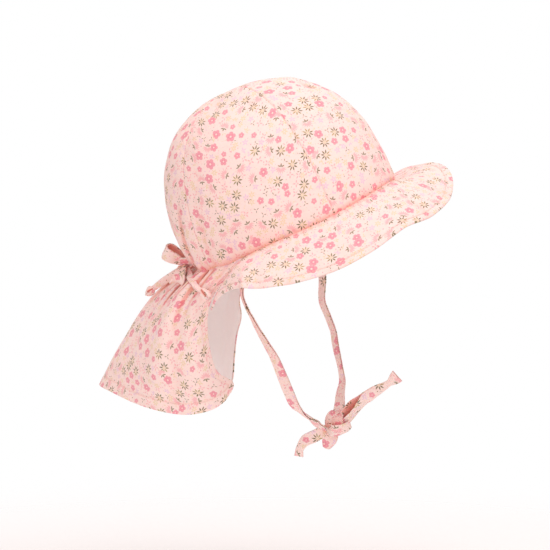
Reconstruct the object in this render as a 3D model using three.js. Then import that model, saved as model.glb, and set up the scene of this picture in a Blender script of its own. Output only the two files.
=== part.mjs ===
// Neck flap sun hat for a toddler: a four-panel cotton crown, a soft wavy brim, a gathered neck flap
// with a lining, a bow at the nape and two chin ties knotted together.
// Sizes are in millimetres and angles in degrees. X points to the front, Y to the wearer's left, Z up.
// The origin is the centre of the head opening, whose plane is tilted up at the front as it is worn.
import * as THREE from 'three';

// Head opening: an oval, 513 mm round.
const OPENING_HALF_LENGTH = 91.5;
const OPENING_HALF_WIDTH = 71;
const OPENING_TILT = 24;

// Cloth
const CROWN_CLOTH = 1.5;
const BRIM_CLOTH = 1.5;
const FLAP_CLOTH = 1.4;
const LINING_CLOTH = 1;
const LINING_GAP = 0.5;
const GAP = 0.3;
const CLOTH_ROUGHNESS = 0.92;
const SLOPE_STEP = 0.001;

// Crown
const CROWN_HEIGHT = 112.5;
const CROWN_SQUARENESS = 2.33;
const CROWN_TIP_ANGLE = 89.7;
const FRONT_SEAM_TURN = 51;
const BACK_SEAM_TURN = 128;
const PANEL_PUFF = 1.2;
const TUCK_FADE = 5;
const CROWN_ROWS = 12;
const CROWN_COLUMN_ANGLE = 8.5;

// Brim
const BRIM_COLUMNS = 66;
const BRIM_ROWS = 5;
const BRIM_ROLL = 2.5;
const BRIM_FULL_ROLL_WIDTH = 40;
const BRIM_START = 0.2;

// Flap
const FLAP_COLUMNS = 44;
const FLAP_ROWS = 10;
const FLAP_FRONT_INSET = 0.11;
const FLAP_SEAM_INSET = 0.014;
const FLAP_SEAM_DROP = 0.8;
const FLAP_SLOPE_STEP = 0.02;
const UPPER_POINT_FALL = 1 / 3;

// Ties and bow
const TIE_WIDTH = 6.6;
const TIE_THICKNESS = 3.6;
const TIE_SIDES = 8;
const TIE_STEP = 6;
const TIE_FEWEST_STEPS = 6;
const BOW_WIDTH = 9.5;
const BOW_THICKNESS = 1.2;
const BOW_TAIL_START_WIDTH = 5.6;
const BOW_LOOP_STEPS = 16;
const BOW_TAIL_STEPS = 10;
const TAPE_COLUMNS = 2;
const KNOT_SIDES = 14;
const KNOT_RINGS = 10;

// The crown's lower edge: how far it hangs below the plane of the opening and is drawn in at the nape.
const LOWER_EDGE = [
  { turn: 0, drop: 0, tuck: 0 },
  { turn: 30, drop: 3, tuck: 0 },
  { turn: 60, drop: 7, tuck: 0 },
  { turn: 90, drop: 8, tuck: 0 },
  { turn: 105, drop: 9, tuck: 0 },
  { turn: 120, drop: 9.5, tuck: 0.01 },
  { turn: 140, drop: 7, tuck: 0.03 },
  { turn: 160, drop: 3, tuck: 0.09 },
  { turn: 180, drop: 1, tuck: 0.12 },
];

// The brim from the wearer's right round the front to the left. Out is a share of the opening's radius,
// drop is the seam's distance below the opening, droop tips the width down, heading is its direction.
const BRIM_STATIONS = [
  { turn: -129.7, out: 1.115, drop: 36.8, width: 3, droop: 15, heading: -78 },
  { turn: -125.1, out: 1.068, drop: 27.5, width: 10.5, droop: 17, heading: -78 },
  { turn: -117, out: 1.008, drop: 18.1, width: 24, droop: 21, heading: -80 },
  { turn: -107.4, out: 0.99, drop: 11, width: 40, droop: 24, heading: -80 },
  { turn: -100, out: 1, drop: 9, width: 44, droop: 26, heading: -88 },
  { turn: -90, out: 1, drop: 8, width: 46, droop: 34, heading: -90 },
  { turn: -75, out: 1, drop: 7.6, width: 48, droop: 44, heading: -78 },
  { turn: -60, out: 1, drop: 7, width: 50, droop: 46, heading: -66 },
  { turn: -45, out: 1, drop: 5, width: 51, droop: 44, heading: -52 },
  { turn: -30, out: 1, drop: 3, width: 50, droop: 37, heading: -37 },
  { turn: -15, out: 1, drop: 1, width: 50, droop: 41, heading: -19 },
  { turn: 0, out: 1, drop: 0, width: 47, droop: 39, heading: 0 },
  { turn: 15, out: 1, drop: 1, width: 43.5, droop: 24, heading: 19 },
  { turn: 30, out: 1, drop: 3, width: 42, droop: 6, heading: 37 },
  { turn: 45, out: 1, drop: 5, width: 43, droop: -8, heading: 52 },
  { turn: 60, out: 1, drop: 7, width: 46, droop: -11, heading: 66 },
  { turn: 75, out: 1, drop: 7.6, width: 48, droop: -3, heading: 78 },
  { turn: 90, out: 1, drop: 8, width: 47, droop: 18, heading: 90 },
  { turn: 100, out: 1, drop: 9, width: 44, droop: 26, heading: 88 },
  { turn: 107.4, out: 0.99, drop: 11, width: 40, droop: 28, heading: 84 },
  { turn: 117, out: 1.008, drop: 18.1, width: 24, droop: 24, heading: 84 },
  { turn: 125.1, out: 1.068, drop: 27.5, width: 10.5, droop: 20, heading: 80 },
  { turn: 129.7, out: 1.115, drop: 36.8, width: 3, droop: 18, heading: 78 },
];

// The flap's sections from its right front edge round the nape to its left front edge. Each one starts at
// a turn on the crown's lower edge and hangs through an upper and a lower point to the hem.
const FLAP_SECTIONS = [
  { at: 0, turn: -104, upper: [-46, -57, -58], lower: [-42, -60, -100], hem: [-27, -66, -130] },
  { at: 1, turn: -112, upper: [-55, -62, -62], lower: [-51, -70, -104], hem: [-40, -74, -139] },
  { at: 2, turn: -125, upper: [-66, -60, -64], lower: [-68, -70, -106], hem: [-62, -78, -143] },
  { at: 3, turn: -140, upper: [-84, -47, -66], lower: [-94, -58, -105], hem: [-97, -66, -141] },
  { at: 4, turn: -160, upper: [-101, -26, -66], lower: [-121, -32, -103], hem: [-136, -37, -135] },
  { at: 5, turn: -180, upper: [-108, 0, -64], lower: [-133, 0, -100], hem: [-152, 0, -137] },
  { at: 6, turn: -200, upper: [-101, 26, -66], lower: [-121, 32, -103], hem: [-138, 39, -137] },
  { at: 7, turn: -220, upper: [-86, 47, -68], lower: [-98, 58, -108], hem: [-104, 66, -146] },
  { at: 8, turn: -238, upper: [-70, 58, -68], lower: [-76, 62, -110], hem: [-78, 64, -151] },
  { at: 9, turn: -256, upper: [-54, 54, -62], lower: [-59, 52, -108], hem: [-62, 52, -152] },
];

// The flap's gathers. At is a place along the sections, lean moves the fold sideways towards the hem, and
// the depths push the cloth out at the seam, a third of the way down and at the hem.
const GATHERS = [
  { at: 1.4, lean: -0.2, width: 0.5, seam: -1, upper: -2, hem: 0 },
  { at: 2.2, lean: 0.1, width: 0.36, seam: -1.4, upper: -2.8, hem: -3 },
  { at: 2.8, lean: 0, width: 0.28, seam: 0.4, upper: 2, hem: 1 },
  { at: 3.5, lean: -0.2, width: 0.26, seam: -1.4, upper: -2.6, hem: -1 },
  { at: 4.2, lean: -0.2, width: 0.26, seam: -1.4, upper: -2.6, hem: -2 },
  { at: 4.8, lean: 0, width: 0.26, seam: 0.4, upper: 2, hem: 2 },
  { at: 5.4, lean: 0.1, width: 0.26, seam: -1.4, upper: -2.4, hem: -2 },
  { at: 6.1, lean: 0.2, width: 0.28, seam: -1.4, upper: -2.6, hem: -2 },
  { at: 6.9, lean: 0.1, width: 0.3, seam: -1.4, upper: -2.6, hem: -2 },
  { at: 7.8, lean: 0, width: 0.32, seam: -1.2, upper: -2.4, hem: -2 },
];

// Centre lines of the tapes, from their sewn end to their free or knotted end.
const RIGHT_TIE_ROUTE = [
  [-9, -67.1, -17.5], [-16, -67, -34], [-17, -66, -48], [-8.8, -62, -68.5], [-2.3, -57, -83.1], [4, -51, -97.3],
  [6.8, -45, -109], [10.8, -37, -125.9], [13.6, -28, -139], [16.5, -22, -145.4], [22, -12, -153.5],
  [30.1, -2.7, -157.8],
];
const LEFT_TIE_ROUTE = [
  [-8.7, 67.4, -16.3], [-2, 67, -34], [5, 66, -51], [7, 60, -71.4], [13.5, 55, -82.8], [19.2, 50, -92.7],
  [23.9, 43, -104.6], [30, 34, -116.9], [35.2, 26, -127.1], [37.2, 18, -135.1], [38, 9, -144],
  [38.6, 2.2, -151],
];
const UPPER_TAIL_ROUTE = [
  [45.6, -2.2, -154.3], [52, -4, -144], [60.9, -4, -136], [70, -3, -129], [79, -2, -123.5], [88, -1, -116],
];
const LOWER_TAIL_ROUTE = [
  [30.5, 0.3, -161.6], [21, 1, -167], [12, 0, -172], [8.6, 0, -178], [7.8, 0, -184],
];

// The knot under the chin and the short flared end of tape that hangs below it.
const CHIN_KNOT = { centre: [38, 0, -158], radii: [8.2, 5.6, 6.4], tilt: 12 };
const CHIN_STUB = {
  route: [[35.6, 0, -165], [33.4, 0, -169.5], [31, 0, -175]],
  startWidth: 7,
  endWidth: 12,
  width: [1, 0, -0.3],
  steps: 4,
};

// The bow: its knot, and its two loops as teardrops that reach along one direction and are as wide as the
// tape along another. Each loop starts a little way out from the knot's lifted centre.
const BOW_KNOT = { centre: [-77.7, -21.4, -32.9], radii: [4, 5, 4.2], tilt: 20 };
const BOW_LOOPS = [
  {
    name: 'bow_loop_upper',
    start: 4.2,
    reach: 14,
    height: 10,
    lift: [0, -0.8, 1.2],
    along: [-0.863, 0.066, 0.43],
    width: [0.429, -0.216, 0.876],
  },
  {
    name: 'bow_loop_lower',
    start: 1.8,
    reach: 13,
    height: 5,
    lift: [-1.8, -5.2, 0.6],
    along: [0.05, -0.8, -0.6],
    width: [0.952, -0.12, 0.288],
  },
];

// Half of a loop's outline as shares of its reach and height.
const TEARDROP = [
  { reach: 0, height: 0.1 },
  { reach: 0.3, height: 0.3 },
  { reach: 0.65, height: 0.5 },
  { reach: 0.9, height: 0.4 },
  { reach: 1, height: 0 },
];

const BOW_TAILS = [
  {
    name: 'bow_tail_left',
    route: [[-79.9, -18.5, -37.2], [-90.6, -13, -43.6], [-101.5, -8, -49], [-110.5, -5, -56]],
    width: [-0.5, -0.3, 0.8],
  },
  {
    name: 'bow_tail_right',
    route: [
      [-75.4, -24, -37.4], [-71.5, -32.4, -39.7], [-68.1, -42, -39.8], [-61, -55.3, -42.9],
      [-50.3, -65.5, -48.4],
    ],
    width: [-0.55, -0.1, -0.82],
  },
];

const CLOTH_COLOUR = 0xf3cfc3;
const LINING_COLOUR = 0xe4c6bf;

const rad = THREE.MathUtils.degToRad;

// Value of a named column at a place between the rows of a table, as a smooth curve through them.
function read(table, key, column, place) {
  const value = (row) => table[THREE.MathUtils.clamp(row, 0, table.length - 1)];
  let i = 0;
  while (i < table.length - 2 && place > table[i + 1][key]) {
    i += 1;
  }
  const slope = (row) => {
    const before = value(row - 1);
    const after = value(row + 1);
    return (after[column] - before[column]) / (after[key] - before[key]);
  };
  const span = table[i + 1][key] - table[i][key];
  const t = (place - table[i][key]) / span;
  const start = table[i][column];
  const end = table[i + 1][column];
  const a = slope(i) * span;
  const b = slope(i + 1) * span;
  return start + t * a + t * t * (3 * (end - start) - 2 * a - b) + t * t * t * (2 * (start - end) + a + b);
}

// A point given in the plane of the opening (forward, left, up from the plane), tilted as the hat is worn.
function tilted(forward, left, up) {
  const c = Math.cos(rad(OPENING_TILT));
  const s = Math.sin(rad(OPENING_TILT));
  return new THREE.Vector3(forward * c - up * s, left, forward * s + up * c);
}

// A point over the opening's oval: out is a share of the oval's radius at a turn from the front.
function onOpening(turn, out, up) {
  const forward = OPENING_HALF_LENGTH * out * Math.cos(rad(turn));
  const left = OPENING_HALF_WIDTH * out * Math.sin(rad(turn));
  return tilted(forward, left, up);
}

// The crown's lower edge at any turn, the same on both sides.
function lowerEdge(turn) {
  const round = Math.abs(((turn + 540) % 360) - 180);
  return {
    drop: read(LOWER_EDGE, 'turn', 'drop', round),
    tuck: read(LOWER_EDGE, 'turn', 'tuck', round),
  };
}

// Closed cloth wall that lies a set-back behind the face given by faceAt(across, down), both from 0 to 1.
// The face is seen from outside with across to the right and down downwards.
function clothWall(faceAt, columns, rows, thickness, setBack = 0) {
  const positions = [];
  const before = (x) => Math.max(x - SLOPE_STEP, 0);
  const after = (x) => Math.min(x + SLOPE_STEP, 1);
  for (let r = 0; r <= rows; r += 1) {
    for (let c = 0; c <= columns; c += 1) {
      const across = c / columns;
      const down = r / rows;
      const point = faceAt(across, down);
      const alongAcross = faceAt(after(across), down).sub(faceAt(before(across), down));
      const alongDown = faceAt(across, after(down)).sub(faceAt(across, before(down)));
      const outward = alongDown.cross(alongAcross).normalize();
      positions.push(...point.clone().addScaledVector(outward, -setBack).toArray());
      positions.push(...point.clone().addScaledVector(outward, -setBack - thickness).toArray());
    }
  }
  const outer = (c, r) => 2 * (r * (columns + 1) + c);
  const inner = (c, r) => outer(c, r) + 1;
  const triangles = [];
  const quad = (a, b, c, d) => triangles.push(a, b, c, a, c, d);
  for (let r = 0; r < rows; r += 1) {
    for (let c = 0; c < columns; c += 1) {
      quad(outer(c, r), outer(c, r + 1), outer(c + 1, r + 1), outer(c + 1, r));
      quad(inner(c, r), inner(c + 1, r), inner(c + 1, r + 1), inner(c, r + 1));
    }
  }
  for (let c = 0; c < columns; c += 1) {
    quad(outer(c, 0), outer(c + 1, 0), inner(c + 1, 0), inner(c, 0));
    quad(outer(c, rows), inner(c, rows), inner(c + 1, rows), outer(c + 1, rows));
  }
  for (let r = 0; r < rows; r += 1) {
    quad(outer(0, r), inner(0, r), inner(0, r + 1), outer(0, r + 1));
    quad(outer(columns, r), outer(columns, r + 1), inner(columns, r + 1), inner(columns, r));
  }
  const geometry = new THREE.BufferGeometry();
  geometry.setAttribute('position', new THREE.Float32BufferAttribute(positions, 3));
  geometry.setIndex(triangles);
  geometry.computeVertexNormals();
  return geometry;
}

function clothMaterial(colour) {
  return new THREE.MeshStandardMaterial({ color: colour, roughness: CLOTH_ROUGHNESS, metalness: 0 });
}

function piece(name, geometry, colour = CLOTH_COLOUR) {
  const mesh = new THREE.Mesh(geometry, clothMaterial(colour));
  mesh.name = name;
  return mesh;
}

// The crown's share of the opening's radius at a climb from 0 at the lower edge to 1 at the tip.
function crownShare(climb) {
  return Math.cos(rad(climb * CROWN_TIP_ANGLE)) ** (2 / CROWN_SQUARENESS);
}

// Point of the crown's outer face. Puff swells the face between its lower edge and its tip.
function crownPoint(turn, climb, puff) {
  const angle = rad(climb * CROWN_TIP_ANGLE);
  const height = Math.sin(angle) ** (2 / CROWN_SQUARENESS);
  const edge = lowerEdge(turn);
  const out = crownShare(climb) * (1 - edge.tuck * (1 - height) ** TUCK_FADE);
  const bulge = (puff * Math.sin(2 * angle)) / OPENING_HALF_LENGTH;
  return onOpening(turn, out + bulge, CROWN_HEIGHT * height - edge.drop * (1 - height) ** 2);
}

// Panel between two seams, set in from each of them by half a gap.
function crownPanel(name, fromTurn, toTurn) {
  const faceAt = (across, down) => {
    const climb = 1 - down;
    const radius = OPENING_HALF_WIDTH * crownShare(climb);
    const inset = THREE.MathUtils.radToDeg(Math.asin(GAP / 2 / radius));
    const turn = THREE.MathUtils.lerp(fromTurn + inset, toTurn - inset, across);
    return crownPoint(turn, climb, PANEL_PUFF * Math.sin(Math.PI * across));
  };
  const columns = Math.round((toTurn - fromTurn) / CROWN_COLUMN_ANGLE);
  return piece(name, clothWall(faceAt, columns, CROWN_ROWS, CROWN_CLOTH));
}

// Point of the brim's upper face. Span runs from 0 at the seam to 1 at the hem.
function brimPoint(turn, span) {
  const at = (column) => read(BRIM_STATIONS, 'turn', column, turn);
  const seam = onOpening(turn, at('out'), -at('drop'));
  const heading = rad(at('heading'));
  const droop = rad(at('droop'));
  const reach = THREE.MathUtils.lerp(BRIM_START, at('width'), span);
  const sag = BRIM_ROLL * Math.sin(Math.PI * span) * Math.min(1, at('width') / BRIM_FULL_ROLL_WIDTH);
  const level = reach * Math.cos(droop) + sag * Math.sin(droop);
  const fall = reach * Math.sin(droop) - sag * Math.cos(droop);
  const forward = level * Math.cos(heading);
  const left = level * Math.sin(heading);
  return seam.add(tilted(forward, left, -fall - GAP));
}

function brim() {
  const first = BRIM_STATIONS[0].turn;
  const last = BRIM_STATIONS[BRIM_STATIONS.length - 1].turn;
  const faceAt = (across, down) => brimPoint(THREE.MathUtils.lerp(first, last, across), down);
  return piece('brim', clothWall(faceAt, BRIM_COLUMNS, BRIM_ROWS, BRIM_CLOTH));
}

// Point of the flap's smooth outer face. Place runs along the sections, fall from 0 at the seam to 1.
function flapBase(place, fall) {
  const turn = read(FLAP_SECTIONS, 'at', 'turn', place);
  const edge = lowerEdge(turn);
  const seam = onOpening(turn, 1 - edge.tuck - FLAP_SEAM_INSET, -edge.drop - FLAP_SEAM_DROP);
  const column = (name, axis) => FLAP_SECTIONS.map((row) => ({ at: row.at, value: row[name][axis] }));
  const coordinate = (name, axis) => read(column(name, axis), 'at', 'value', place);
  const point = (name) => new THREE.Vector3(...[0, 1, 2].map((axis) => coordinate(name, axis)));
  const curve = new THREE.CatmullRomCurve3([seam, point('upper'), point('lower'), point('hem')]);
  return curve.getPoint(fall);
}

// How far the gathers push the flap out at a place and fall.
function gatherDepth(place, fall) {
  let depth = 0;
  for (const fold of GATHERS) {
    const shift = (place - fold.at - fold.lean * fall) / (fold.width * (1 + fall));
    const size = fall < UPPER_POINT_FALL
      ? THREE.MathUtils.lerp(fold.seam, fold.upper, fall / UPPER_POINT_FALL)
      : THREE.MathUtils.lerp(fold.upper, fold.hem, (fall - UPPER_POINT_FALL) / (1 - UPPER_POINT_FALL));
    depth += size * Math.exp(-shift * shift);
  }
  return depth;
}

// Point of the flap's outer face with its gathers.
function flapPoint(place, fall) {
  const last = FLAP_SECTIONS.length - 1;
  const before = Math.max(place - FLAP_SLOPE_STEP, 0);
  const after = Math.min(place + FLAP_SLOPE_STEP, last);
  const across = flapBase(after, fall).sub(flapBase(before, fall));
  const lower = Math.min(fall + FLAP_SLOPE_STEP, 1);
  const upper = Math.max(fall - FLAP_SLOPE_STEP, 0);
  const down = flapBase(place, lower).sub(flapBase(place, upper));
  const outward = across.cross(down).normalize();
  return flapBase(place, fall).addScaledVector(outward, gatherDepth(place, fall));
}

function flapLayer(name, setBack, thickness, colour) {
  const last = FLAP_SECTIONS.length - 1 - FLAP_FRONT_INSET;
  const faceAt = (across, down) => {
    const place = THREE.MathUtils.lerp(last, FLAP_FRONT_INSET, across);
    return flapPoint(place, down);
  };
  return piece(name, clothWall(faceAt, FLAP_COLUMNS, FLAP_ROWS, thickness, setBack), colour);
}

// Tie tape: an oval section carried along a route.
function tieTape(name, route) {
  const section = new THREE.Shape();
  for (let i = 0; i < TIE_SIDES; i += 1) {
    const angle = (2 * Math.PI * i) / TIE_SIDES;
    const x = (TIE_WIDTH / 2) * Math.cos(angle);
    const y = (TIE_THICKNESS / 2) * Math.sin(angle);
    if (i === 0) {
      section.moveTo(x, y);
    } else {
      section.lineTo(x, y);
    }
  }
  const curve = curveThrough(route);
  const steps = Math.max(TIE_FEWEST_STEPS, Math.round(curve.getLength() / TIE_STEP));
  return piece(name, new THREE.ExtrudeGeometry(section, { steps, bevelEnabled: false, extrudePath: curve }));
}

// Flat tape: a strip carried along a curve, its width kept as near as it can be to a given direction.
function flatTape(name, curve, startWidth, endWidth, width, steps) {
  const wide = new THREE.Vector3(...width);
  const faceAt = (across, down) => {
    const along = curve.getTangentAt(down);
    const side = wide.clone().addScaledVector(along, -wide.dot(along)).normalize();
    const facing = along.clone().cross(side);
    const shift = (across - 0.5) * THREE.MathUtils.lerp(startWidth, endWidth, down);
    return curve.getPointAt(down).addScaledVector(side, shift).addScaledVector(facing, BOW_THICKNESS / 2);
  };
  return piece(name, clothWall(faceAt, TAPE_COLUMNS, steps, BOW_THICKNESS));
}

function bowLoop(loop) {
  const along = new THREE.Vector3(...loop.along).normalize();
  const wide = new THREE.Vector3(...loop.width);
  const opening = wide.clone().cross(along).normalize();
  const start = new THREE.Vector3(...BOW_KNOT.centre)
    .add(new THREE.Vector3(...loop.lift))
    .addScaledVector(along, loop.start);
  const half = (sign) => TEARDROP.map((row) => start.clone()
    .addScaledVector(along, row.reach * loop.reach)
    .addScaledVector(opening, sign * (row.height * loop.height + BOW_THICKNESS / 2)));
  const back = half(-1).reverse();
  const tip = start.clone().addScaledVector(along, loop.reach);
  const curve = new THREE.CatmullRomCurve3([...half(1).slice(0, -1), tip, ...back.slice(1)]);
  return flatTape(loop.name, curve, BOW_WIDTH, BOW_WIDTH, loop.width, BOW_LOOP_STEPS);
}

// Rounded solid of a knot.
function knotBall(name, knot) {
  const geometry = new THREE.SphereGeometry(1, KNOT_SIDES, KNOT_RINGS);
  geometry.scale(...knot.radii);
  geometry.rotateY(rad(-knot.tilt));
  geometry.translate(...knot.centre);
  return piece(name, geometry);
}

function curveThrough(route) {
  return new THREE.CatmullRomCurve3(route.map((p) => new THREE.Vector3(...p)));
}

function chinStub() {
  const { route, startWidth, endWidth, width, steps } = CHIN_STUB;
  return flatTape('chin_stub', curveThrough(route), startWidth, endWidth, width, steps);
}

function bowTail(tail) {
  const curve = curveThrough(tail.route);
  return flatTape(tail.name, curve, BOW_TAIL_START_WIDTH, BOW_WIDTH, tail.width, BOW_TAIL_STEPS);
}

const hat = new THREE.Group();
hat.add(crownPanel('crown_front', -FRONT_SEAM_TURN, FRONT_SEAM_TURN));
hat.add(crownPanel('crown_side_left', FRONT_SEAM_TURN, BACK_SEAM_TURN));
hat.add(crownPanel('crown_back', BACK_SEAM_TURN, 360 - BACK_SEAM_TURN));
hat.add(crownPanel('crown_side_right', -BACK_SEAM_TURN, -FRONT_SEAM_TURN));
hat.add(brim());
hat.add(flapLayer('neck_flap', 0, FLAP_CLOTH, CLOTH_COLOUR));
hat.add(flapLayer('neck_flap_lining', FLAP_CLOTH + LINING_GAP, LINING_CLOTH, LINING_COLOUR));
hat.add(tieTape('chin_tie_right', RIGHT_TIE_ROUTE));
hat.add(tieTape('chin_tie_left', LEFT_TIE_ROUTE));
hat.add(tieTape('chin_tail_upper', UPPER_TAIL_ROUTE));
hat.add(tieTape('chin_tail_lower', LOWER_TAIL_ROUTE));
hat.add(knotBall('chin_knot', CHIN_KNOT));
hat.add(chinStub());
hat.add(knotBall('bow_knot', BOW_KNOT));
BOW_LOOPS.forEach((loop) => hat.add(bowLoop(loop)));
BOW_TAILS.forEach((tail) => hat.add(bowTail(tail)));

export default hat;
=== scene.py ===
import math

import bpy
import numpy as np
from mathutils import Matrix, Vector, noise


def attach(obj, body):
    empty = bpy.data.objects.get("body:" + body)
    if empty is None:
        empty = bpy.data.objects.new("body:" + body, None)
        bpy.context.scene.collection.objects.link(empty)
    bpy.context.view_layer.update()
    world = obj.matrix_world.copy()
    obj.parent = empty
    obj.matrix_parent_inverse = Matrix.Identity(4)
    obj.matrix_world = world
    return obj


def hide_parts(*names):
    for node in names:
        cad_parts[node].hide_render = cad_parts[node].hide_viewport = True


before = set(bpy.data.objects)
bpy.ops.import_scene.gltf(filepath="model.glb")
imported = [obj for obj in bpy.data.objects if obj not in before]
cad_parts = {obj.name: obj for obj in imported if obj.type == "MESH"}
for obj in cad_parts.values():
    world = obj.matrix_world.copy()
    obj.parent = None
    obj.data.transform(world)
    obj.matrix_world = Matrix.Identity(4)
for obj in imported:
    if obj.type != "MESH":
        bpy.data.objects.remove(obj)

bl_info = {
    "name": "Neck flap sun hat",
    "version": (1, 0, 0),
    "blender": (4, 5, 0),
    "location": "View3D > Sidebar > Sun hat",
    "description": "Builds a toddler's floral sun hat with a gathered neck flap, a bow and chin ties",
    "category": "Object",
}

# Lengths in the tables are in millimetres and angles in degrees. X points to the front of the hat,
# Y to the wearer's left and Z up. Across runs to the right on a face seen from outside, down runs down.
MM = 0.001

OPENING_TILT = 24
CROWN_SQUARENESS = 2.33
CROWN_TIP_ANGLE = 89.95
CROWN_ROWS = 72
FRONT_SEAM = 51
BACK_SEAM = 128
PANEL_PUFF = 1.2
TUCK_FADE = 5
BRIM_ROLL = 2.5
FLAP_FRONT_INSET = 0.11
FLAP_SEAM_INSET = 0.014
FLAP_SEAM_DROP = 0.8
FLAP_TUCK_INSET = 0.034
FLAP_TUCK_RISE = 1.6
GAP = 0.3
BRIM_COLUMNS = 430
BRIM_ROWS = 40
BRIM_SEWN_TO = 110.5
BRIM_TUCK = 1.5
BRIM_HEM = 5.2
BRIM_SEAM_STITCHING = 3.2
FLAP_HEM = 8.6
FLAP_FRONT_HEM = 4.2
FLAP_CUT = 290
FLAP_HANG = 128
FLAP_PLACE_WIDTH = 31
NAPE_PLACE = 4.5
LINING_CLOTH = 0.6
LINING_SETBACK = 1.7
STITCH_PITCH = 3.0
TAPE_CLOTH = 0.75
TAPE_FLAT_POINTS = 8

# The view, which is the photograph's own
VIEW_TURN = 18
VIEW_HEIGHT = 10
VIEW_CENTRE = (-11.24, -40.7)
VIEW_DISTANCE = 1400
PIXELS_ACROSS = 550
PIXELS_PER_MM = 1.29

# The lamps: name, place, size, power. They all point at the same place.
LAMPS = [
    ("key", (350, -350, 1150), 700, 7.1), ("fill", (100, -1500, -150), 900, 4.2),
    ("rim", (-300, 1100, 900), 1000, 3.6),
]
LAMPS_AIM = (0, 0, -30)
FLOOR_CENTRE = (-20, 0, -300)
FLOOR_RADIUS = 600

# The crown's lower edge: turn from the front, how far it hangs, how far it is drawn in.
LOWER_EDGE = [
    (0, 0, 0), (30, 3, 0), (60, 7, 0), (90, 8, 0), (105, 9, 0), (120, 9.5, 0.01), (140, 7, 0.03),
    (160, 3, 0.09), (180, 1, 0.12),
]

# The brim: turn, share of the opening's radius, drop of the seam, width, droop, heading.
BRIM_STATIONS = [
    (-129.7, 1.115, 36.8, 3, 15, -78), (-125.1, 1.068, 27.5, 10.5, 17, -78),
    (-117, 1.008, 18.1, 24, 21, -80), (-107.4, 0.99, 11, 40, 24, -80), (-100, 1, 9, 44, 26, -88),
    (-90, 1, 8, 46, 34, -90), (-75, 1, 7.6, 48, 44, -78), (-60, 1, 7, 50, 46, -66),
    (-45, 1, 5, 51, 44, -52), (-30, 1, 3, 50, 37, -37), (-15, 1, 1, 50, 41, -19), (0, 1, 0, 47, 39, 0),
    (15, 1, 1, 43.5, 24, 19), (30, 1, 3, 42, 6, 37), (45, 1, 5, 43, -8, 52), (60, 1, 7, 46, -11, 66),
    (75, 1, 7.6, 48, -3, 78), (90, 1, 8, 47, 18, 90), (100, 1, 9, 44, 26, 88), (107.4, 0.99, 11, 40, 28, 84),
    (117, 1.008, 18.1, 24, 24, 84), (125.1, 1.068, 27.5, 10.5, 20, 80), (129.7, 1.115, 36.8, 3, 18, 78),
]

# The flap: place, turn on the crown's lower edge, then an upper point, a lower point and the hem.
FLAP_SECTIONS = [
    (0, -104, (-46, -57, -58), (-42, -60, -100), (-27, -66, -130)),
    (1, -112, (-55, -62, -62), (-51, -70, -104), (-40, -74, -139)),
    (2, -125, (-66, -60, -64), (-68, -70, -106), (-62, -78, -143)),
    (3, -140, (-84, -47, -66), (-94, -58, -105), (-97, -66, -141)),
    (4, -160, (-101, -26, -66), (-121, -32, -103), (-136, -37, -135)),
    (5, -180, (-108, 0, -64), (-133, 0, -100), (-152, 0, -137)),
    (6, -200, (-101, 26, -66), (-121, 32, -103), (-138, 39, -137)),
    (7, -220, (-86, 47, -68), (-98, 58, -108), (-104, 66, -146)),
    (8, -238, (-70, 58, -68), (-76, 62, -110), (-78, 64, -151)),
    (9, -256, (-54, 54, -62), (-59, 52, -108), (-62, 52, -152)),
]

# The flap's large gathers: place, lean, width, then the push out at the seam, a third down and at the hem.
GATHERS = [
    (1.4, -0.2, 0.5, -1, -2, 0), (2.2, 0.1, 0.36, -1.4, -2.8, -3), (2.8, 0, 0.28, 0.4, 2, 1),
    (3.5, -0.2, 0.26, -1.4, -2.6, -1), (4.2, -0.2, 0.26, -1.4, -2.6, -2), (4.8, 0, 0.26, 0.4, 2, 2),
    (5.4, 0.1, 0.26, -1.4, -2.4, -2), (6.1, 0.2, 0.28, -1.4, -2.6, -2), (6.9, 0.1, 0.3, -1.4, -2.6, -2),
    (7.8, 0, 0.32, -1.2, -2.4, -2),
]

# The flap's small pleats at the seam: place, lean, width, push out, share of the fall that they reach down.
PLEATS = [
    (1.72, -0.12, 0.34, 3.4, 0.36), (2.30, -0.04, 0.11, 2.4, 0.30), (2.74, -0.08, 0.12, 3.2, 0.46),
    (3.10, -0.12, 0.10, 2.6, 0.30), (3.45, -0.26, 0.13, 2.8, 0.50),
    (3.9, -0.2, 0.12, 2.0, 0.3), (4.3, -0.15, 0.14, 2.6, 0.55), (4.75, 0.1, 0.12, 2.2, 0.38),
    (5.2, 0.2, 0.14, 2.4, 0.5), (5.7, -0.1, 0.11, 2.4, 0.32), (6.2, 0.2, 0.14, 2.4, 0.55),
    (6.65, 0.1, 0.11, 2.4, 0.36), (7.1, 0.25, 0.14, 2.2, 0.46), (7.6, 0.1, 0.12, 2.4, 0.3),
    (8.1, 0.1, 0.11, 1.8, 0.24),
]

# Painted shadows in the slits where a pleat folds over the next: place, lean, width in mm, darkness of the
# painted shade, from and to share of the fall.
SLIT_SHADOWS = [
    (2.44, 0.5, 1.0, 1.9, 0.0, 0.085), (2.95, -0.3, 1.2, 1.3, 0.02, 0.20), (3.65, -0.2, 1.2, 1.2, 0.05, 0.34),
    (4.6, 0.0, 1.3, 1.3, 0.02, 0.46), (5.45, 0.1, 1.3, 1.3, 0.02, 0.34), (5.95, 0.1, 1.3, 1.3, 0.0, 0.24),
    (6.9, 0.2, 1.3, 1.3, 0.0, 0.30), (7.35, 0.1, 1.2, 1.2, 0.0, 0.22),
]

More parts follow.
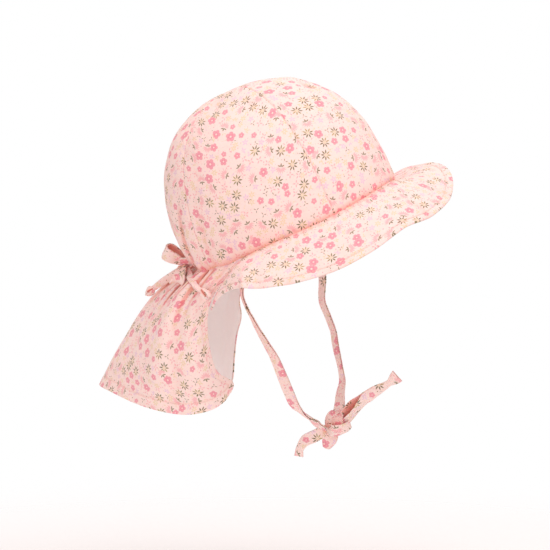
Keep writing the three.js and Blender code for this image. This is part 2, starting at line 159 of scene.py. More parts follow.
# The crown's soft creases that run up from the nape: turn, push out, width, reach up, lean.
CROWN_CREASES = [
    (-124, -0.9, 3.2, 0.30, 6), (-138, 1.0, 2.8, 0.24, 9), (-146, -1.3, 2.6, 0.34, 12),
    (-155, 1.0, 2.4, 0.20, 7), (-163, -1.4, 2.6, 0.30, 9), (-171, 0.9, 2.4, 0.22, 3),
    (-180, -1.2, 2.6, 0.28, 0), (-189, 1.0, 2.6, 0.22, -4), (-198, -1.3, 2.6, 0.30, -8),
    (-208, 0.9, 2.6, 0.22, -8), (-218, -1.0, 3.0, 0.28, -9), (-232, -0.8, 3.4, 0.24, -6),
]

# Soft dents and swellings of the crown: turn, climb, half width in degrees and in climb, push out.
CROWN_SWELLS = [
    (-64, 0.66, 13, 0.10, -1.6), (-96, 0.80, 26, 0.08, -1.5), (-30, 0.55, 18, 0.16, 1.2),
    (-72, 0.86, 20, 0.06, 1.3), (-2, 0.60, 12, 0.06, -1.9), (10, 0.72, 16, 0.06, 1.4),
    (-110, 0.45, 16, 0.20, 0.9), (-60, 0.25, 12, 0.16, -0.8), (-84, 0.32, 18, 0.10, 0.8),
    (22, 0.35, 12, 0.14, 0.9), (60, 0.62, 14, 0.12, -1.4), (100, 0.72, 24, 0.10, -1.2),
    (86, 0.36, 20, 0.16, 1.0), (150, 0.66, 20, 0.12, -1.1), (-150, 0.60, 20, 0.14, 1.0),
    (178, 0.5, 14, 0.12, -0.7),
]

# The waves of the flap's front edges and the rise of its hem's corners: place, half width, size.
FAR_EDGE_WAVES = [(0.22, 0.13, 0.10), (0.51, 0.08, 0.26), (1, 0.07, -0.3)]
NEAR_EDGE_WAVES = [(0.2, 0.13, -0.09), (0.92, 0.10, -0.54)]
HEM_CORNERS = [(0, 0.02, 0.022), (1, 0.03, 0.035)]
HEM_RISE = 0.016

# The print's main motifs are drawn up to these chances; the rest of their places is left to the sprigs.
FLOWER_LIMIT = 0.36
STAR_LIMIT = 0.59
FAN_LIMIT = 0.86

# The print's sprigs: colour, strength, leaves, from and to in mm, width, from and to in chance.
SPRIGS = [
    ("Lilac", 0.7, 5, 0.1, 3.2, 0.65, 0.34, 0.54), ("Yellow", 0.62, 6, 0.2, 3.2, 0.55, -1, 0.34),
    ("Blossom", 0.9, 4, 0.3, 3.1, 0.6, 0.54, 0.84), ("Leaf", 0.8, 3, 0.1, 2.7, 0.45, 0.84, 2),
]

# Centre lines of the tapes. The near tie goes on as the band across the knot under the chin.
NEAR_TIE = [
    (-9, -67.1, -17.5), (-16, -67, -34), (-17, -66, -48), (-8.8, -62, -68.5), (-2.3, -57, -83.1),
    (4, -51, -97.3), (6.8, -45, -109), (10.8, -37, -125.9), (13.6, -28, -139), (16.5, -20, -145.4),
    (21.2, -10, -152.3), (27.5, -9, -157.4), (34.8, -8.6, -159.9), (42.1, -7.6, -159.4), (47.2, -5, -157.8),
    (48.6, -0.5, -156.2), (44, 2, -156),
]
FAR_TIE = [
    (-8.7, 67.4, -16.3), (-2, 67, -34), (5, 66, -51), (7, 60, -71.4), (13.5, 55, -82.8), (19.2, 50, -92.7),
    (23.9, 43, -104.6), (30, 34, -116.9), (34.4, 26, -127.1), (35.8, 17, -135.1), (38.6, 6, -144),
    (39.8, -3.6, -152), (40.4, -5.6, -159.5),
]
UPPER_TAIL = [
    (44, 0.5, -155.3), (52, 1.5, -144.6), (60.9, -1, -136), (70, -2, -129), (79, -2, -123.5),
    (88.5, -1, -116.4),
]
LOWER_TAIL = [(31, -1.5, -160.6), (21.5, 0, -166.4), (13, 0, -171.2), (9, 0, -177), (8.2, 0, -183.4)]
CHIN_STUB = [(34.5, -3, -162.5), (33.2, -2.4, -167.5), (31.6, -1.8, -171.8), (30.2, -1.4, -175.6)]
CHIN_LOBE = [
    (40.5, 1.5, -148.2), (37, -0.6, -148.2), (34.6, -2.2, -151.2), (34.2, -3.4, -155.4), (36, -4, -159),
]
CHIN_CORE = [(33, 1, -150), (36, 0.5, -155), (40, 1, -160), (36, 1, -164)]
BOW_KNOT = (-77.7, -21.4, -32.9)
BOW_TAIL_LEFT = [(-79.9, -18.5, -37.2), (-90.6, -13.5, -44.2), (-101, -9, -51), (-108.5, -6, -56.4)]
BOW_TAIL_RIGHT = [
    (-75.4, -25.5, -36.6), (-70.5, -34.4, -39), (-65, -46, -41), (-57, -59.5, -43.6), (-49.5, -67.4, -46.2),
]

# The band of the bow's knot, from its middle: to the right, up and towards the camera.
BOW_WRAP = [
    (-2.5, 1.6, -2.5), (-4.4, 1.6, 1.5), (-2.6, 1.9, 5.2), (1.6, 2.0, 6.4), (5.0, 1.4, 4.8), (6.4, 0.6, 1.5),
    (5, 0, -1.5),
]
BOW_CORE = [(2.5, 4.0, 1.5), (0, 0, 0), (-1.5, -5.0, -1.0)]


class HatSizes(bpy.types.PropertyGroup):
    """Sizes of the hat's cloth and trim"""

    head_length: bpy.props.FloatProperty(
        name="Head length", description="Length of the head opening", default=0.183, unit="LENGTH")
    head_width: bpy.props.FloatProperty(
        name="Head width", description="Width of the head opening", default=0.142, unit="LENGTH")
    crown_height: bpy.props.FloatProperty(
        name="Crown height", description="Height over the opening", default=0.1125, unit="LENGTH")
    crown_cloth: bpy.props.FloatProperty(
        name="Crown cloth", description="Thickness of the crown's cloth", default=0.0011, unit="LENGTH")
    brim_cloth: bpy.props.FloatProperty(
        name="Brim cloth", description="Thickness of the two-layer brim", default=0.0013, unit="LENGTH")
    flap_cloth: bpy.props.FloatProperty(
        name="Flap cloth", description="Thickness of the flap's outer cloth", default=0.0009, unit="LENGTH")
    tape_width: bpy.props.FloatProperty(
        name="Tie width", description="Width of the folded tie tape", default=0.0072, unit="LENGTH")
    stitch_length: bpy.props.FloatProperty(
        name="Stitch length", description="Length of one topstitch", default=0.0022, unit="LENGTH")


class HatColours(bpy.types.PropertyGroup):
    """Colours of the cloth and of its printed flowers"""

    ground: bpy.props.FloatVectorProperty(
        name="Ground", description="Colour of the cloth between the flowers", subtype="COLOR", size=3,
        default=(0.95, 0.715, 0.665), min=0, max=1)
    flower: bpy.props.FloatVectorProperty(
        name="Flower", description="Colour of the five-petal flowers", subtype="COLOR", size=3,
        default=(0.79, 0.225, 0.33), min=0, max=1)
    blossom: bpy.props.FloatVectorProperty(
        name="Blossom", description="Colour of the pale half blossoms", subtype="COLOR", size=3,
        default=(0.89, 0.40, 0.43), min=0, max=1)
    leaf: bpy.props.FloatVectorProperty(
        name="Leaf", description="Colour of the leaves and green sprigs", subtype="COLOR", size=3,
        default=(0.135, 0.125, 0.035), min=0, max=1)
    pollen: bpy.props.FloatVectorProperty(
        name="Yellow", description="Colour of the yellow sprigs", subtype="COLOR", size=3,
        default=(0.74, 0.56, 0.24), min=0, max=1)
    lilac: bpy.props.FloatVectorProperty(
        name="Lilac", description="Colour of the faint lilac sprigs", subtype="COLOR", size=3,
        default=(0.76, 0.50, 0.68), min=0, max=1)
    lining: bpy.props.FloatVectorProperty(
        name="Lining", description="Colour of the plain lining", subtype="COLOR", size=3,
        default=(0.94, 0.84, 0.82), min=0, max=1)


def sizes():
    return bpy.context.scene.hat_sizes


def colours():
    return bpy.context.scene.hat_colours


# Curves through tables

def read(table, column, place):
    """Values of a table's column at places between its rows, as a smooth curve through them."""
    x = np.array([row[0] for row in table], float)
    y = np.array([row[column] for row in table], float)
    if y.ndim == 1:
        y = y[:, None]
    rows = np.arange(len(x))
    before, after = np.maximum(rows - 1, 0), np.minimum(rows + 1, len(x) - 1)
    slope = (y[after] - y[before]) / (x[after] - x[before])[:, None]
    place = np.atleast_1d(np.asarray(place, float))
    i = np.clip(np.searchsorted(x, place) - 1, 0, len(x) - 2)
    span = (x[i + 1] - x[i])[:, None]
    t = (place - x[i])[:, None] / span
    a, b, rise = slope[i] * span, slope[i + 1] * span, y[i + 1] - y[i]
    found = y[i] + t * a + t**2 * (3 * rise - 2 * a - b) + t**3 * (a + b - 2 * rise)
    return found[:, 0] if found.shape[1] == 1 else found


def along(points, t, span=None):
    """The point at t, from 0 to 1, on the smooth curve through points, each a point or an array of points."""
    points = [np.asarray(p, float) for p in points]
    last = len(points) - 1
    i = min(int(t * last), last - 1) if span is None else span
    w = t * last - i
    p1, p2 = points[i], points[i + 1]
    p0 = points[i - 1] if i > 0 else 2 * p1 - p2
    p3 = points[i + 2] if i < last - 1 else 2 * p2 - p1
    steps = (p1 - p0, p2 - p1, p3 - p2)
    d0, d1, d2 = [np.sum(step**2, axis=-1, keepdims=True) ** 0.25 for step in steps]
    a = ((p1 - p0) / d0 - (p2 - p0) / (d0 + d1) + (p2 - p1) / d1) * d1
    b = ((p2 - p1) / d1 - (p3 - p1) / (d1 + d2) + (p3 - p2) / d2) * d1
    return p1 + w * a + w**2 * (3 * (p2 - p1) - 2 * a - b) + w**3 * (a + b - 2 * (p2 - p1))


def evenly(line, count):
    """The line again as count points at even distances."""
    line = np.asarray(line, float)
    gone = gone_along(line)
    at = np.linspace(0, gone[-1], count)
    return np.stack([np.interp(at, gone, line[:, k]) for k in range(3)], axis=1)


def route(points, count):
    """Count points at even distances on the smooth curve through a route's points."""
    return evenly([along(points, t) for t in np.linspace(0, 1, 40 * len(points))], count)


def gone_along(line):
    """How far each point of a line is from its start."""
    return np.r_[0, np.cumsum(np.linalg.norm(np.diff(line, axis=0), axis=1))]


def length_of(line):
    return float(gone_along(line)[-1])


def unit(v):
    return v / np.maximum(np.linalg.norm(v, axis=-1, keepdims=True), 1e-12)


def ease(x):
    """A smooth step from 0 to 1."""
    x = np.clip(x, 0, 1)
    return x * x * (3 - 2 * x)


def bell(x):
    """A smooth bump that is 1 at 0 and fades to both sides."""
    return np.exp(-(x**2))


def waves(table, x):
    """The sum of a table's bumps at x; each has a place, a half width and a size."""
    return sum(size * bell((x - at) / width) for at, width, size in table)


def crumple(points, scale, seed, octaves=3):
    """Smooth unevenness from about -1 to 1 at each of the points, with hollows about scale mm apart."""
    shift = Vector((13.1 * seed, -7.7 * seed, 5.3 * seed))
    flat = np.asarray(points, float).reshape(-1, 3) / scale
    found = [noise.fractal(Vector(p) + shift, 1.0, 2.1, octaves) for p in flat]
    return np.array(found).reshape(np.shape(points)[:-1])


def tilted(forward, left, up):
    """Points given in the plane of the head opening, turned as the hat is worn."""
    c, s = math.cos(math.radians(OPENING_TILT)), math.sin(math.radians(OPENING_TILT))
    return np.stack(np.broadcast_arrays(forward * c - up * s, left, forward * s + up * c), axis=-1)


def on_opening(turn, out, up):
    """Points at a turn from the front: out is a share of the opening's radius, up is over its plane."""
    turn = np.radians(turn)
    half_length, half_width = sizes().head_length / MM / 2, sizes().head_width / MM / 2
    return tilted(half_length * out * np.cos(turn), half_width * out * np.sin(turn), up)


def view_axes():
    """The photograph's directions: to the right, up and towards the camera."""
    turn, height = math.radians(VIEW_TURN), math.radians(VIEW_HEIGHT)
    right = Vector((math.cos(turn), math.sin(turn), 0))
    up = Vector((-math.sin(turn) * math.sin(height), math.cos(turn) * math.sin(height), math.cos(height)))
    return right, up, right.cross(up)


# Meshes

def facing(face):
    """Outward directions of a face given as rows and columns of points."""
    return unit(np.cross(np.gradient(face, axis=0), np.gradient(face, axis=1)))


def arc(face, axis):
    """Distance along the rows or columns of a face, from its first one."""
    steps = np.linalg.norm(np.diff(face, axis=axis), axis=2)
    start = np.zeros_like(np.take(steps, [0], axis=axis))
    return np.cumsum(np.concatenate([start, steps], axis=axis), axis=axis)


def add_mesh(name, points, faces, uvs, materials, material_of=None, fold=None):
    """A smooth mesh piece in the hat's own frame; points and print coordinates are in millimetres."""
    mesh = bpy.data.meshes.new(name)
    mesh.from_pydata((np.asarray(points) * MM).tolist(), [], faces)
    uv = mesh.uv_layers.new(name="Print")
    corner = np.zeros(len(mesh.loops), int)
    mesh.loops.foreach_get("vertex_index", corner)
    uv.data.foreach_set("uv", np.asarray(uvs, float)[corner].ravel())
    # Each point's painted shade, which the cotton material reads to darken the colour in creases, seams and
    # where other cloth lies over it
    shade = mesh.attributes.new("PaintedShade", "FLOAT", "POINT")
    shade.data.foreach_set("value", np.zeros(len(points)) if fold is None else np.asarray(fold, float))
    for material in materials:
        mesh.materials.append(material)
    if material_of is not None:
        mesh.polygons.foreach_set("material_index", np.asarray(material_of, int))
    mesh.polygons.foreach_set("use_smooth", np.ones(len(faces), bool))
    mesh.update()
    piece = bpy.data.objects.new(name, mesh)
    bpy.context.scene.collection.objects.link(piece)
    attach(piece, "root")
    return piece


def hollows(face, reach, depth):
    """How deep each point lies in a crease across the face, from 0 to 1."""
    n = facing(face)
    found = np.zeros(face.shape[:2])
    for step in reach:
        around = (np.roll(face, step, 1) + np.roll(face, -step, 1)) / 2 - face
        bend = np.sum(around * n, axis=2)
        bend[:, :step], bend[:, -step:] = 0, 0
        found = np.maximum(found, bend)
    return np.clip(found / depth, 0, 1)


def cloth(name, face, uv, thickness, outside, inside=None, fold=0.0):
    """A closed cloth piece under an outer face, with a rounded edge all round."""
    rows, cols = face.shape[:2]
    n = facing(face)
    thick = np.broadcast_to(thickness, (rows, cols))[..., None]
    inner = face - n * thick
    border = [(0, c) for c in range(cols)] + [(r, cols - 1) for r in range(1, rows)]
    border += [(rows - 1, c) for c in range(cols - 2, -1, -1)] + [(r, 0) for r in range(rows - 2, 0, -1)]
    br, bc = np.array(border).T
    edge, edge_n, edge_t = face[br, bc], n[br, bc], thick[br, bc] / 2
    away = unit(np.cross(edge_n, np.roll(edge, -1, 0) - np.roll(edge, 1, 0)))
    middle = edge - edge_n * edge_t
    rings = [middle + edge_t * (edge_n * math.cos(a) + away * math.sin(a)) for a in np.radians((45, 90, 135))]
    points = np.concatenate([face.reshape(-1, 3), inner.reshape(-1, 3), *rings])
    edge_uv = uv[br, bc]
    uvs = np.concatenate([uv.reshape(-1, 2), uv.reshape(-1, 2), edge_uv, edge_uv, edge_uv])
    grid = np.arange(rows * cols).reshape(rows, cols)
    a, b, c, d = [x.ravel() for x in (grid[:-1, :-1], grid[1:, :-1], grid[1:, 1:], grid[:-1, 1:])]
    back = rows * cols
    faces = np.stack([a, b, c, d], axis=1).tolist() + (np.stack([a, d, c, b], axis=1) + back).tolist()
    count = len(border)
    here = np.arange(count)
    following = np.roll(here, -1)
    loops = [br * cols + bc] + [2 * back + k * count + here for k in range(3)] + [back + br * cols + bc]
    for first, second in zip(loops, loops[1:]):
        faces += np.stack([first, first[following], second[following], second], axis=1).tolist()
    lining = np.zeros(len(faces), int)
    if inside is not None:
        lining[len(a):2 * len(a)] = 1
    # Painted shade, carried to the inner face and the rounded edge as well
    fold = np.broadcast_to(fold, (rows, cols))
    fold = np.concatenate([fold.ravel(), fold.ravel(), fold[br, bc], fold[br, bc], fold[br, bc]])
    return add_mesh(name, points, faces, uvs, [outside] + ([inside] if inside else []), lining, fold)


def groove(distance, at, width, depth):
    """Push of a sewn line at a distance from an edge."""
    return -depth * bell((distance - at) / width)


def stitches(name, lines, material):
    """Topstitches as small rounded threads along lines, each a pair of points and outward directions."""
    around = np.radians(np.arange(6) * 60)
    points, faces = [], []
    half = sizes().stitch_length / MM / 2
    for line, outward in lines:
        count = max(2, round(length_of(line) / STITCH_PITCH))
        middles = evenly(line, 2 * count + 1)
        gone = gone_along(line)
        at = np.linspace(0, gone[-1], 2 * count + 1)
        ups = unit(np.stack([np.interp(at, gone, outward[:, k]) for k in range(3)], axis=1))
        for i in range(1, 2 * count, 2):
            ahead = unit(middles[i + 1] - middles[i - 1])
            up = unit(ups[i] - ahead * np.dot(ups[i], ahead))
            side = np.cross(ahead, up)
            start = len(points)
            for share in (-0.62, 0.62):
                ring = middles[i] + ahead * share * half
                for a in around:
                    points.append(ring + 0.26 * math.cos(a) * side + (0.05 + 0.22 * math.sin(a)) * up)
            points += [middles[i] - ahead * half - 0.14 * up, middles[i] + ahead * half - 0.14 * up]
            for k in range(6):
                m = (k + 1) % 6
                faces.append([start + k, start + m, start + 6 + m, start + 6 + k])
                faces.append([start + m, start + k, start + 12])
                faces.append([start + 6 + k, start + 6 + m, start + 13])
    return add_mesh(name, np.array(points), faces, np.zeros((len(points), 2)), [material])


def frames(line, wide, twist):
    """Side and facing directions along a line: wide is kept across it, turned by twist degrees."""
    ahead = unit(np.gradient(line, axis=0))
    wide = np.broadcast_to(np.asarray(wide, float), line.shape)
    side = unit(wide - ahead * np.sum(wide * ahead, axis=1, keepdims=True))
    up = np.cross(ahead, side)
    turn = np.radians(np.broadcast_to(twist, len(line)))[:, None]
    return side * np.cos(turn) + up * np.sin(turn), up * np.cos(turn) - side * np.sin(turn)


def folded_section(width, spread, plump, cup):
    """The outline of a tape folded in half, joined on the left and open by spread mm on the right. A cup
    bends both its edges down. Given with the print's place and the painted shade that each point gets inside
    the fold."""
    sheet = TAPE_CLOTH
    shares = np.linspace(1, 0, TAPE_FLAT_POINTS)
    bend = (sheet + 0.15) / 2
    rise = bend + (spread / 2) * shares**1.5 + plump * np.sin(np.pi * shares)
    upper = np.stack([-width / 2 + bend + (width - bend) * shares, rise], axis=1)
    fold = np.radians(np.array([120, 150, 180, 210, 240]))
    turn = np.stack([-width / 2 + bend + bend * np.cos(fold), bend * np.sin(fold)], axis=1)
    middle = np.concatenate([upper, turn, upper[::-1] * (1, -1)])
    ahead = unit(np.gradient(middle, axis=0))
    out = np.stack([-ahead[:, 1], ahead[:, 0]], axis=1)
    outer, inner = middle - out * sheet / 2, middle + out * sheet / 2
    tip_a, tip_b = middle[0] - ahead[0] * sheet / 2, middle[-1] + ahead[-1] * sheet / 2
    gone = gone_along(middle)
    section = np.concatenate([outer, [tip_b], inner[::-1], [tip_a]])
    section[:, 1] -= cup * (2 * section[:, 0] / width) ** 2
    print_at = np.r_[gone, gone[-1], gone[::-1], 0]
    # Painted shade inside the fold, darker the wider the tape is open
    inside = (1.95 - 1.1 * np.r_[shares, np.zeros(5), shares[::-1]]) * min(1, spread / 2.5)
    return section, print_at, np.r_[np.zeros(len(middle)), 0.2 * inside[0], inside, 0.2 * inside[0]]


def tape(name, line, wide, stations, material, start_at=0.0, shade=0.0, crush=0.22, shade_above=0.0):
    """A folded tape along a line. Stations: share of the length, width, twist, spread, plumpness, cup. Shade
    darkens it where other cloth lies over it, and shade_above the side that faces into its loop."""
    share = np.linspace(0, 1, len(line))
    width, twist, spread, plump, cup = [read(stations, k, share) for k in (1, 2, 3, 4, 5)]
    side, up = frames(line, wide, twist)
    gone = gone_along(line)
    shade = np.broadcast_to(shade, len(line))
    points, uvs, fold = [], [], []
    for i, centre in enumerate(line):
        section, print_at, deep = folded_section(width[i], max(spread[i], 0.02), plump[i], cup[i])
        points.append(centre + section[:, :1] * side[i] + section[:, 1:] * up[i])
        uvs.append(np.stack([print_at, np.full(len(print_at), gone[i] + start_at)], axis=1))
        # Painted shade: the side facing into a loop, and the places where other cloth lies over the tape, are
        # darkened
        deep[:TAPE_FLAT_POINTS + 1] = shade_above
        fold.append(np.maximum(deep, shade[i]))
    points = np.array(points)
    on_middle = points - up[:, None] * np.sum((points - line[:, None]) * up[:, None], axis=2, keepdims=True)
    points = points + up[:, None] * (crush * crumple(on_middle, 6.5, start_at, 2))[..., None]
    return tube(name, points, np.array(uvs), material, np.array(fold))


def ends_shade(line, start, end, reach=2.6):
    """Shade that fades from the two ends of a line."""
    gone = gone_along(line)
    return np.maximum(start * np.exp(-gone / reach), end * np.exp(-(gone[-1] - gone) / reach))


def tube(name, rings, uvs, material, fold=None):
    """A closed piece from rings of points, its ends shut."""
    count, around = rings.shape[:2]
    grid = np.arange(count * around).reshape(count, around)
    following = np.roll(grid, -1, axis=1)
    a, b, c, d = [x.ravel() for x in (grid[:-1], following[:-1], following[1:], grid[1:])]
    faces = np.stack([a, b, c, d], axis=1).tolist()
    faces += [grid[0][::-1].tolist(), grid[-1].tolist()]
    fold = None if fold is None else fold.ravel()
    piece = add_mesh(name, rings.reshape(-1, 3), faces, uvs.reshape(-1, 2), [material], None, fold)
    return right_way_out(piece)


def right_way_out(piece):
    """Turns a closed piece's faces outwards."""
    bpy.ops.object.select_all(action="DESELECT")
    bpy.context.view_layer.objects.active = piece
    piece.select_set(True)
    bpy.ops.object.mode_set(mode="EDIT")
    bpy.ops.mesh.select_all(action="SELECT")
    bpy.ops.mesh.normals_make_consistent(inside=False)
    bpy.ops.object.mode_set(mode="OBJECT")
    piece.select_set(False)
    return piece


def roll(name, line, wide, stations, material, sides=20, crush=0.0, seed=1, pleats=0):
    """A soft rolled cord of tape along a line, with pleats along it. Stations: share of the length, width,
    thickness, twist."""
    share = np.linspace(0, 1, len(line))
    width, thick, twist = [read(stations, k, share) for k in (1, 2, 3)]
    side, up = frames(line, wide, twist)
    angle = np.linspace(0, 2 * np.pi, sides, endpoint=False)
    grooves = np.zeros(sides)
    for k in range(pleats):
        grooves += bell((np.cos(angle) / 2 + 0.5 - (k + 1) / (pleats + 1)) / 0.055)
    ring_x, ring_y = np.cos(angle) / 2, np.sin(angle) / 2 * (1 - 0.4 * grooves)
    rings = line[:, None] + width[:, None, None] * ring_x[None, :, None] * side[:, None]
    rings = rings + thick[:, None, None] * ring_y[None, :, None] * up[:, None]
    if crush:
        outward = unit(rings - line[:, None])
        rings = rings + outward * (crush * crumple(rings, 3.2, seed))[..., None]
    gone = gone_along(line)
    u, v = np.meshgrid(angle / (2 * np.pi) * 16, gone)
    # Painted shade in the grooves of the pleats
    return tube(name, rings, np.stack([u, v], axis=-1), material, np.tile(1.2 * grooves, (len(line), 1)))


# Materials

class Board:
    """Adds nodes and their links to a node tree."""

    def __init__(self, tree):
        self.tree = tree

    def node(self, kind, values=(), **settings):
        """A node with its settings, and values or links for its sockets."""
        made = self.tree.nodes.new(kind)
        for key, value in settings.items():
            setattr(made, key, value)
        for socket, value in dict(values).items():
            self.put(made.inputs[socket], value)
        return made

    def put(self, socket, value):
        """Links a socket to another, or sets its value."""
        if isinstance(value, bpy.types.NodeSocket):
            self.tree.links.new(value, socket)
        else:
            socket.default_value = value

    def math(self, operation, *values, clamp=False):
        made = self.node("ShaderNodeMath", operation=operation, use_clamp=clamp)
        for socket, value in zip(made.inputs, values):
            self.put(socket, value)
        return made.outputs[0]

    def vector(self, operation, values):
        return self.node("ShaderNodeVectorMath", values, operation=operation).outputs[0]

    def length(self, value):
        return self.node("ShaderNodeVectorMath", {0: value}, operation="LENGTH").outputs["Value"]

    def times(self, *values):
        found = values[0]
        for value in values[1:]:
            found = self.math("MULTIPLY", found, value)
        return found

    def under(self, value, limit, soft):
        """1 where value is under the limit, 0 over it, with a soft edge."""
        return self.math("DIVIDE", self.math("SUBTRACT", limit, value), soft, clamp=True)

    def over(self, value, limit, soft):
        """1 where value is over the limit, 0 under it, with a soft edge."""
        return self.math("DIVIDE", self.math("SUBTRACT", value, limit), soft, clamp=True)

    def mix(self, share, first, second):
        """The first colour, with a share of it replaced by the second."""
        made = self.node("ShaderNodeMix", data_type="RGBA")
        self.put(made.inputs[0], share)
        self.put(made.inputs[6], first)
        self.put(made.inputs[7], second)
        return made.outputs[2]


def new_group(name, inputs, outputs):
    """An empty node group with the board for its nodes and its own inputs and outputs."""
    tree = bpy.data.node_groups.new(name, "ShaderNodeTree")
    for label, kind, value in inputs:
        socket = tree.interface.new_socket(name=label, in_out="INPUT", socket_type=kind)
        if value is not None:
            socket.default_value = value
    for label, kind in outputs:
        tree.interface.new_socket(name=label, in_out="OUTPUT", socket_type=kind)
    board = Board(tree)
    return tree, board, board.node("NodeGroupInput").outputs, board.node("NodeGroupOutput").inputs


def new_material(name):
    """An empty material with the board for its nodes and its shader."""
    material = bpy.data.materials.new(name)
    material.use_nodes = True
    return material, Board(material.node_tree), material.node_tree.nodes["Principled BSDF"]


def rays(board, angle, radius, count):
    """Distance from the nearest of count evenly spread rays."""
    wave = board.math("SINE", board.math("MULTIPLY", angle, count / 2))
    return board.times(board.math("ABSOLUTE", wave), radius, 2 / count)


def floral_print():
    """A ditsy floral print on coordinates in millimetres: flowers, leaf stars, half blossoms and sprigs."""
    name = "ditsy floral print"
    if name in bpy.data.node_groups:
        return bpy.data.node_groups[name]
    kinds = [("Place", "NodeSocketVector", None)]
    colours = ("Ground", "Flower", "Blossom", "Leaf", "Yellow", "Lilac")
    kinds += [(colour, "NodeSocketColor", None) for colour in colours]
    tree, b, given, put = new_group(name, kinds, [("Color", "NodeSocketColor")])
    turned = b.node("ShaderNodeMapping", {"Vector": given["Place"], "Rotation": (0, 0, 0.47)}).outputs[0]

    def scatter(cell, randomness, shift):
        """Place, distance and direction from the nearest of scattered points, and its three chances."""
        scaled = b.vector("MULTIPLY_ADD", {0: turned, 1: (1 / cell,) * 3, 2: (shift, 2 * shift, 0)})
        found = b.node("ShaderNodeTexVoronoi", {"Vector": scaled, "Scale": 1.0, "Randomness": randomness},
                       voronoi_dimensions="2D")
        local = b.vector("SUBTRACT", {0: scaled, 1: found.outputs["Position"]})
        local = b.vector("SCALE", {0: local, "Scale": cell})
        split = b.node("ShaderNodeSeparateXYZ", {0: local}).outputs
        chance = b.node("ShaderNodeSeparateColor", {0: found.outputs["Color"]}).outputs
        turn = b.math("MULTIPLY", chance[1], 2 * math.pi)
        turn = b.math("ADD", b.math("ARCTAN2", split[1], split[0]), turn)
        return b.length(local), turn, chance[0], chance[2]

    def within(chance, low, high):
        """1 where the chance lies between two limits."""
        return b.times(b.math("GREATER_THAN", chance, low), b.math("LESS_THAN", chance, high))

    def leaves(turn, far, count, inner, outer, width):
        """Evenly spread leaves, each pointed at both its ends."""
        shape = b.times(b.math("SUBTRACT", far, inner), b.math("SUBTRACT", outer, far))
        taper = b.math("MULTIPLY", shape, 4 * width / (outer - inner) ** 2)
        return b.under(rays(b, turn, far, count), taper, 0.3)

    # The main motifs: flowers, stars and half blossoms
    far, turn, kind, size = scatter(10.9, 0.72, 0.0)
    grown = b.math("MULTIPLY_ADD", size, 0.58, 0.60)
    near = b.math("DIVIDE", far, grown)
    lobe = b.math("POWER", b.math("ABSOLUTE", b.math("COSINE", b.math("MULTIPLY", turn, 2.5))), 0.5)
    flower = b.under(near, b.math("MULTIPLY_ADD", lobe, 1.55, 2.35), 0.5)
    flower = b.times(flower, within(kind, -1, FLOWER_LIMIT))
    rim = b.over(near, b.math("MULTIPLY_ADD", lobe, 1.5, 1.45), 0.8)
    throat = b.under(b.math("ABSOLUTE", b.math("SUBTRACT", near, 1.35)), 0.35, 0.4)
    between = b.under(lobe, 0.62, 0.3)
    dark = b.math("MAXIMUM", b.math("MAXIMUM", b.math("MULTIPLY", rim, 0.7), throat), between)
    petal = b.mix(dark, b.mix(0.75, given["Flower"], given["Blossom"]), given["Flower"])
    petal = b.mix(b.under(near, 0.95, 0.5), petal, (1.0, 0.70, 0.62, 1))

    star_here = within(kind, FLOWER_LIMIT, STAR_LIMIT)
    star = b.times(leaves(turn, far, 8, 0.8, 4.8, 0.62), star_here)
    star_tone = b.over(b.math("SINE", b.math("ADD", turn, b.math("MULTIPLY", size, 6.0))), 0.1, 0.6)
    star_leaf = b.mix(b.math("MULTIPLY", star_tone, 0.5), given["Leaf"], given["Yellow"])
    star_glow = b.times(b.under(far, 1.7, 0.8), star_here)

    fan_here = within(kind, STAR_LIMIT, FAN_LIMIT)
    upward = b.math("SINE", turn)
    fan = b.times(leaves(turn, far, 16, 0.4, 5.6, 0.52), b.over(upward, -0.05, 0.2), fan_here)
    calyx = leaves(b.math("ADD", turn, 0.5), far, 6, 0.1, 3.4, 0.62)
    calyx = b.times(calyx, b.under(upward, -0.25, 0.15), fan_here)

    # Small sprigs on the ground that the main motifs leave
    clear = b.math("MAXIMUM", b.over(far, 4.7, 0.6), b.math("GREATER_THAN", kind, FAN_LIMIT))
    far2, turn2, kind2, _ = scatter(6.6, 0.8, 0.37)
    sprigs = []
    for tint, strength, count, inner, outer, width, low, high in SPRIGS:
        sprig = b.times(leaves(turn2, far2, count, inner, outer, width), within(kind2, low, high), clear)
        sprigs.append((sprig, strength, given[tint]))

    # Dots between them
    open_ground = b.times(clear, b.over(far2, 2.9, 0.4))
    far3, _, kind3, size3 = scatter(3.3, 0.9, 0.71)
    dot = b.times(b.under(far3, b.math("MULTIPLY_ADD", size3, 0.35, 0.35), 0.3), open_ground,
                  b.math("LESS_THAN", kind3, 0.74))
    dot_colour = b.mix(b.math("GREATER_THAN", kind3, 0.48), given["Flower"], given["Yellow"])
    dot_colour = b.mix(b.math("GREATER_THAN", kind3, 0.64), dot_colour, given["Leaf"])

    colour = given["Ground"]
    for share, strength, motif in (
        (dot, 0.7, dot_colour), *sprigs, (fan, 0.82, given["Blossom"]), (calyx, 0.85, given["Leaf"]),
        (star_glow, 0.40, given["Yellow"]), (star, 0.92, star_leaf), (flower, 0.97, petal),
    ):
        colour = b.mix(b.math("MULTIPLY", share, strength), colour, motif)
    b.put(put["Color"], colour)
    return tree


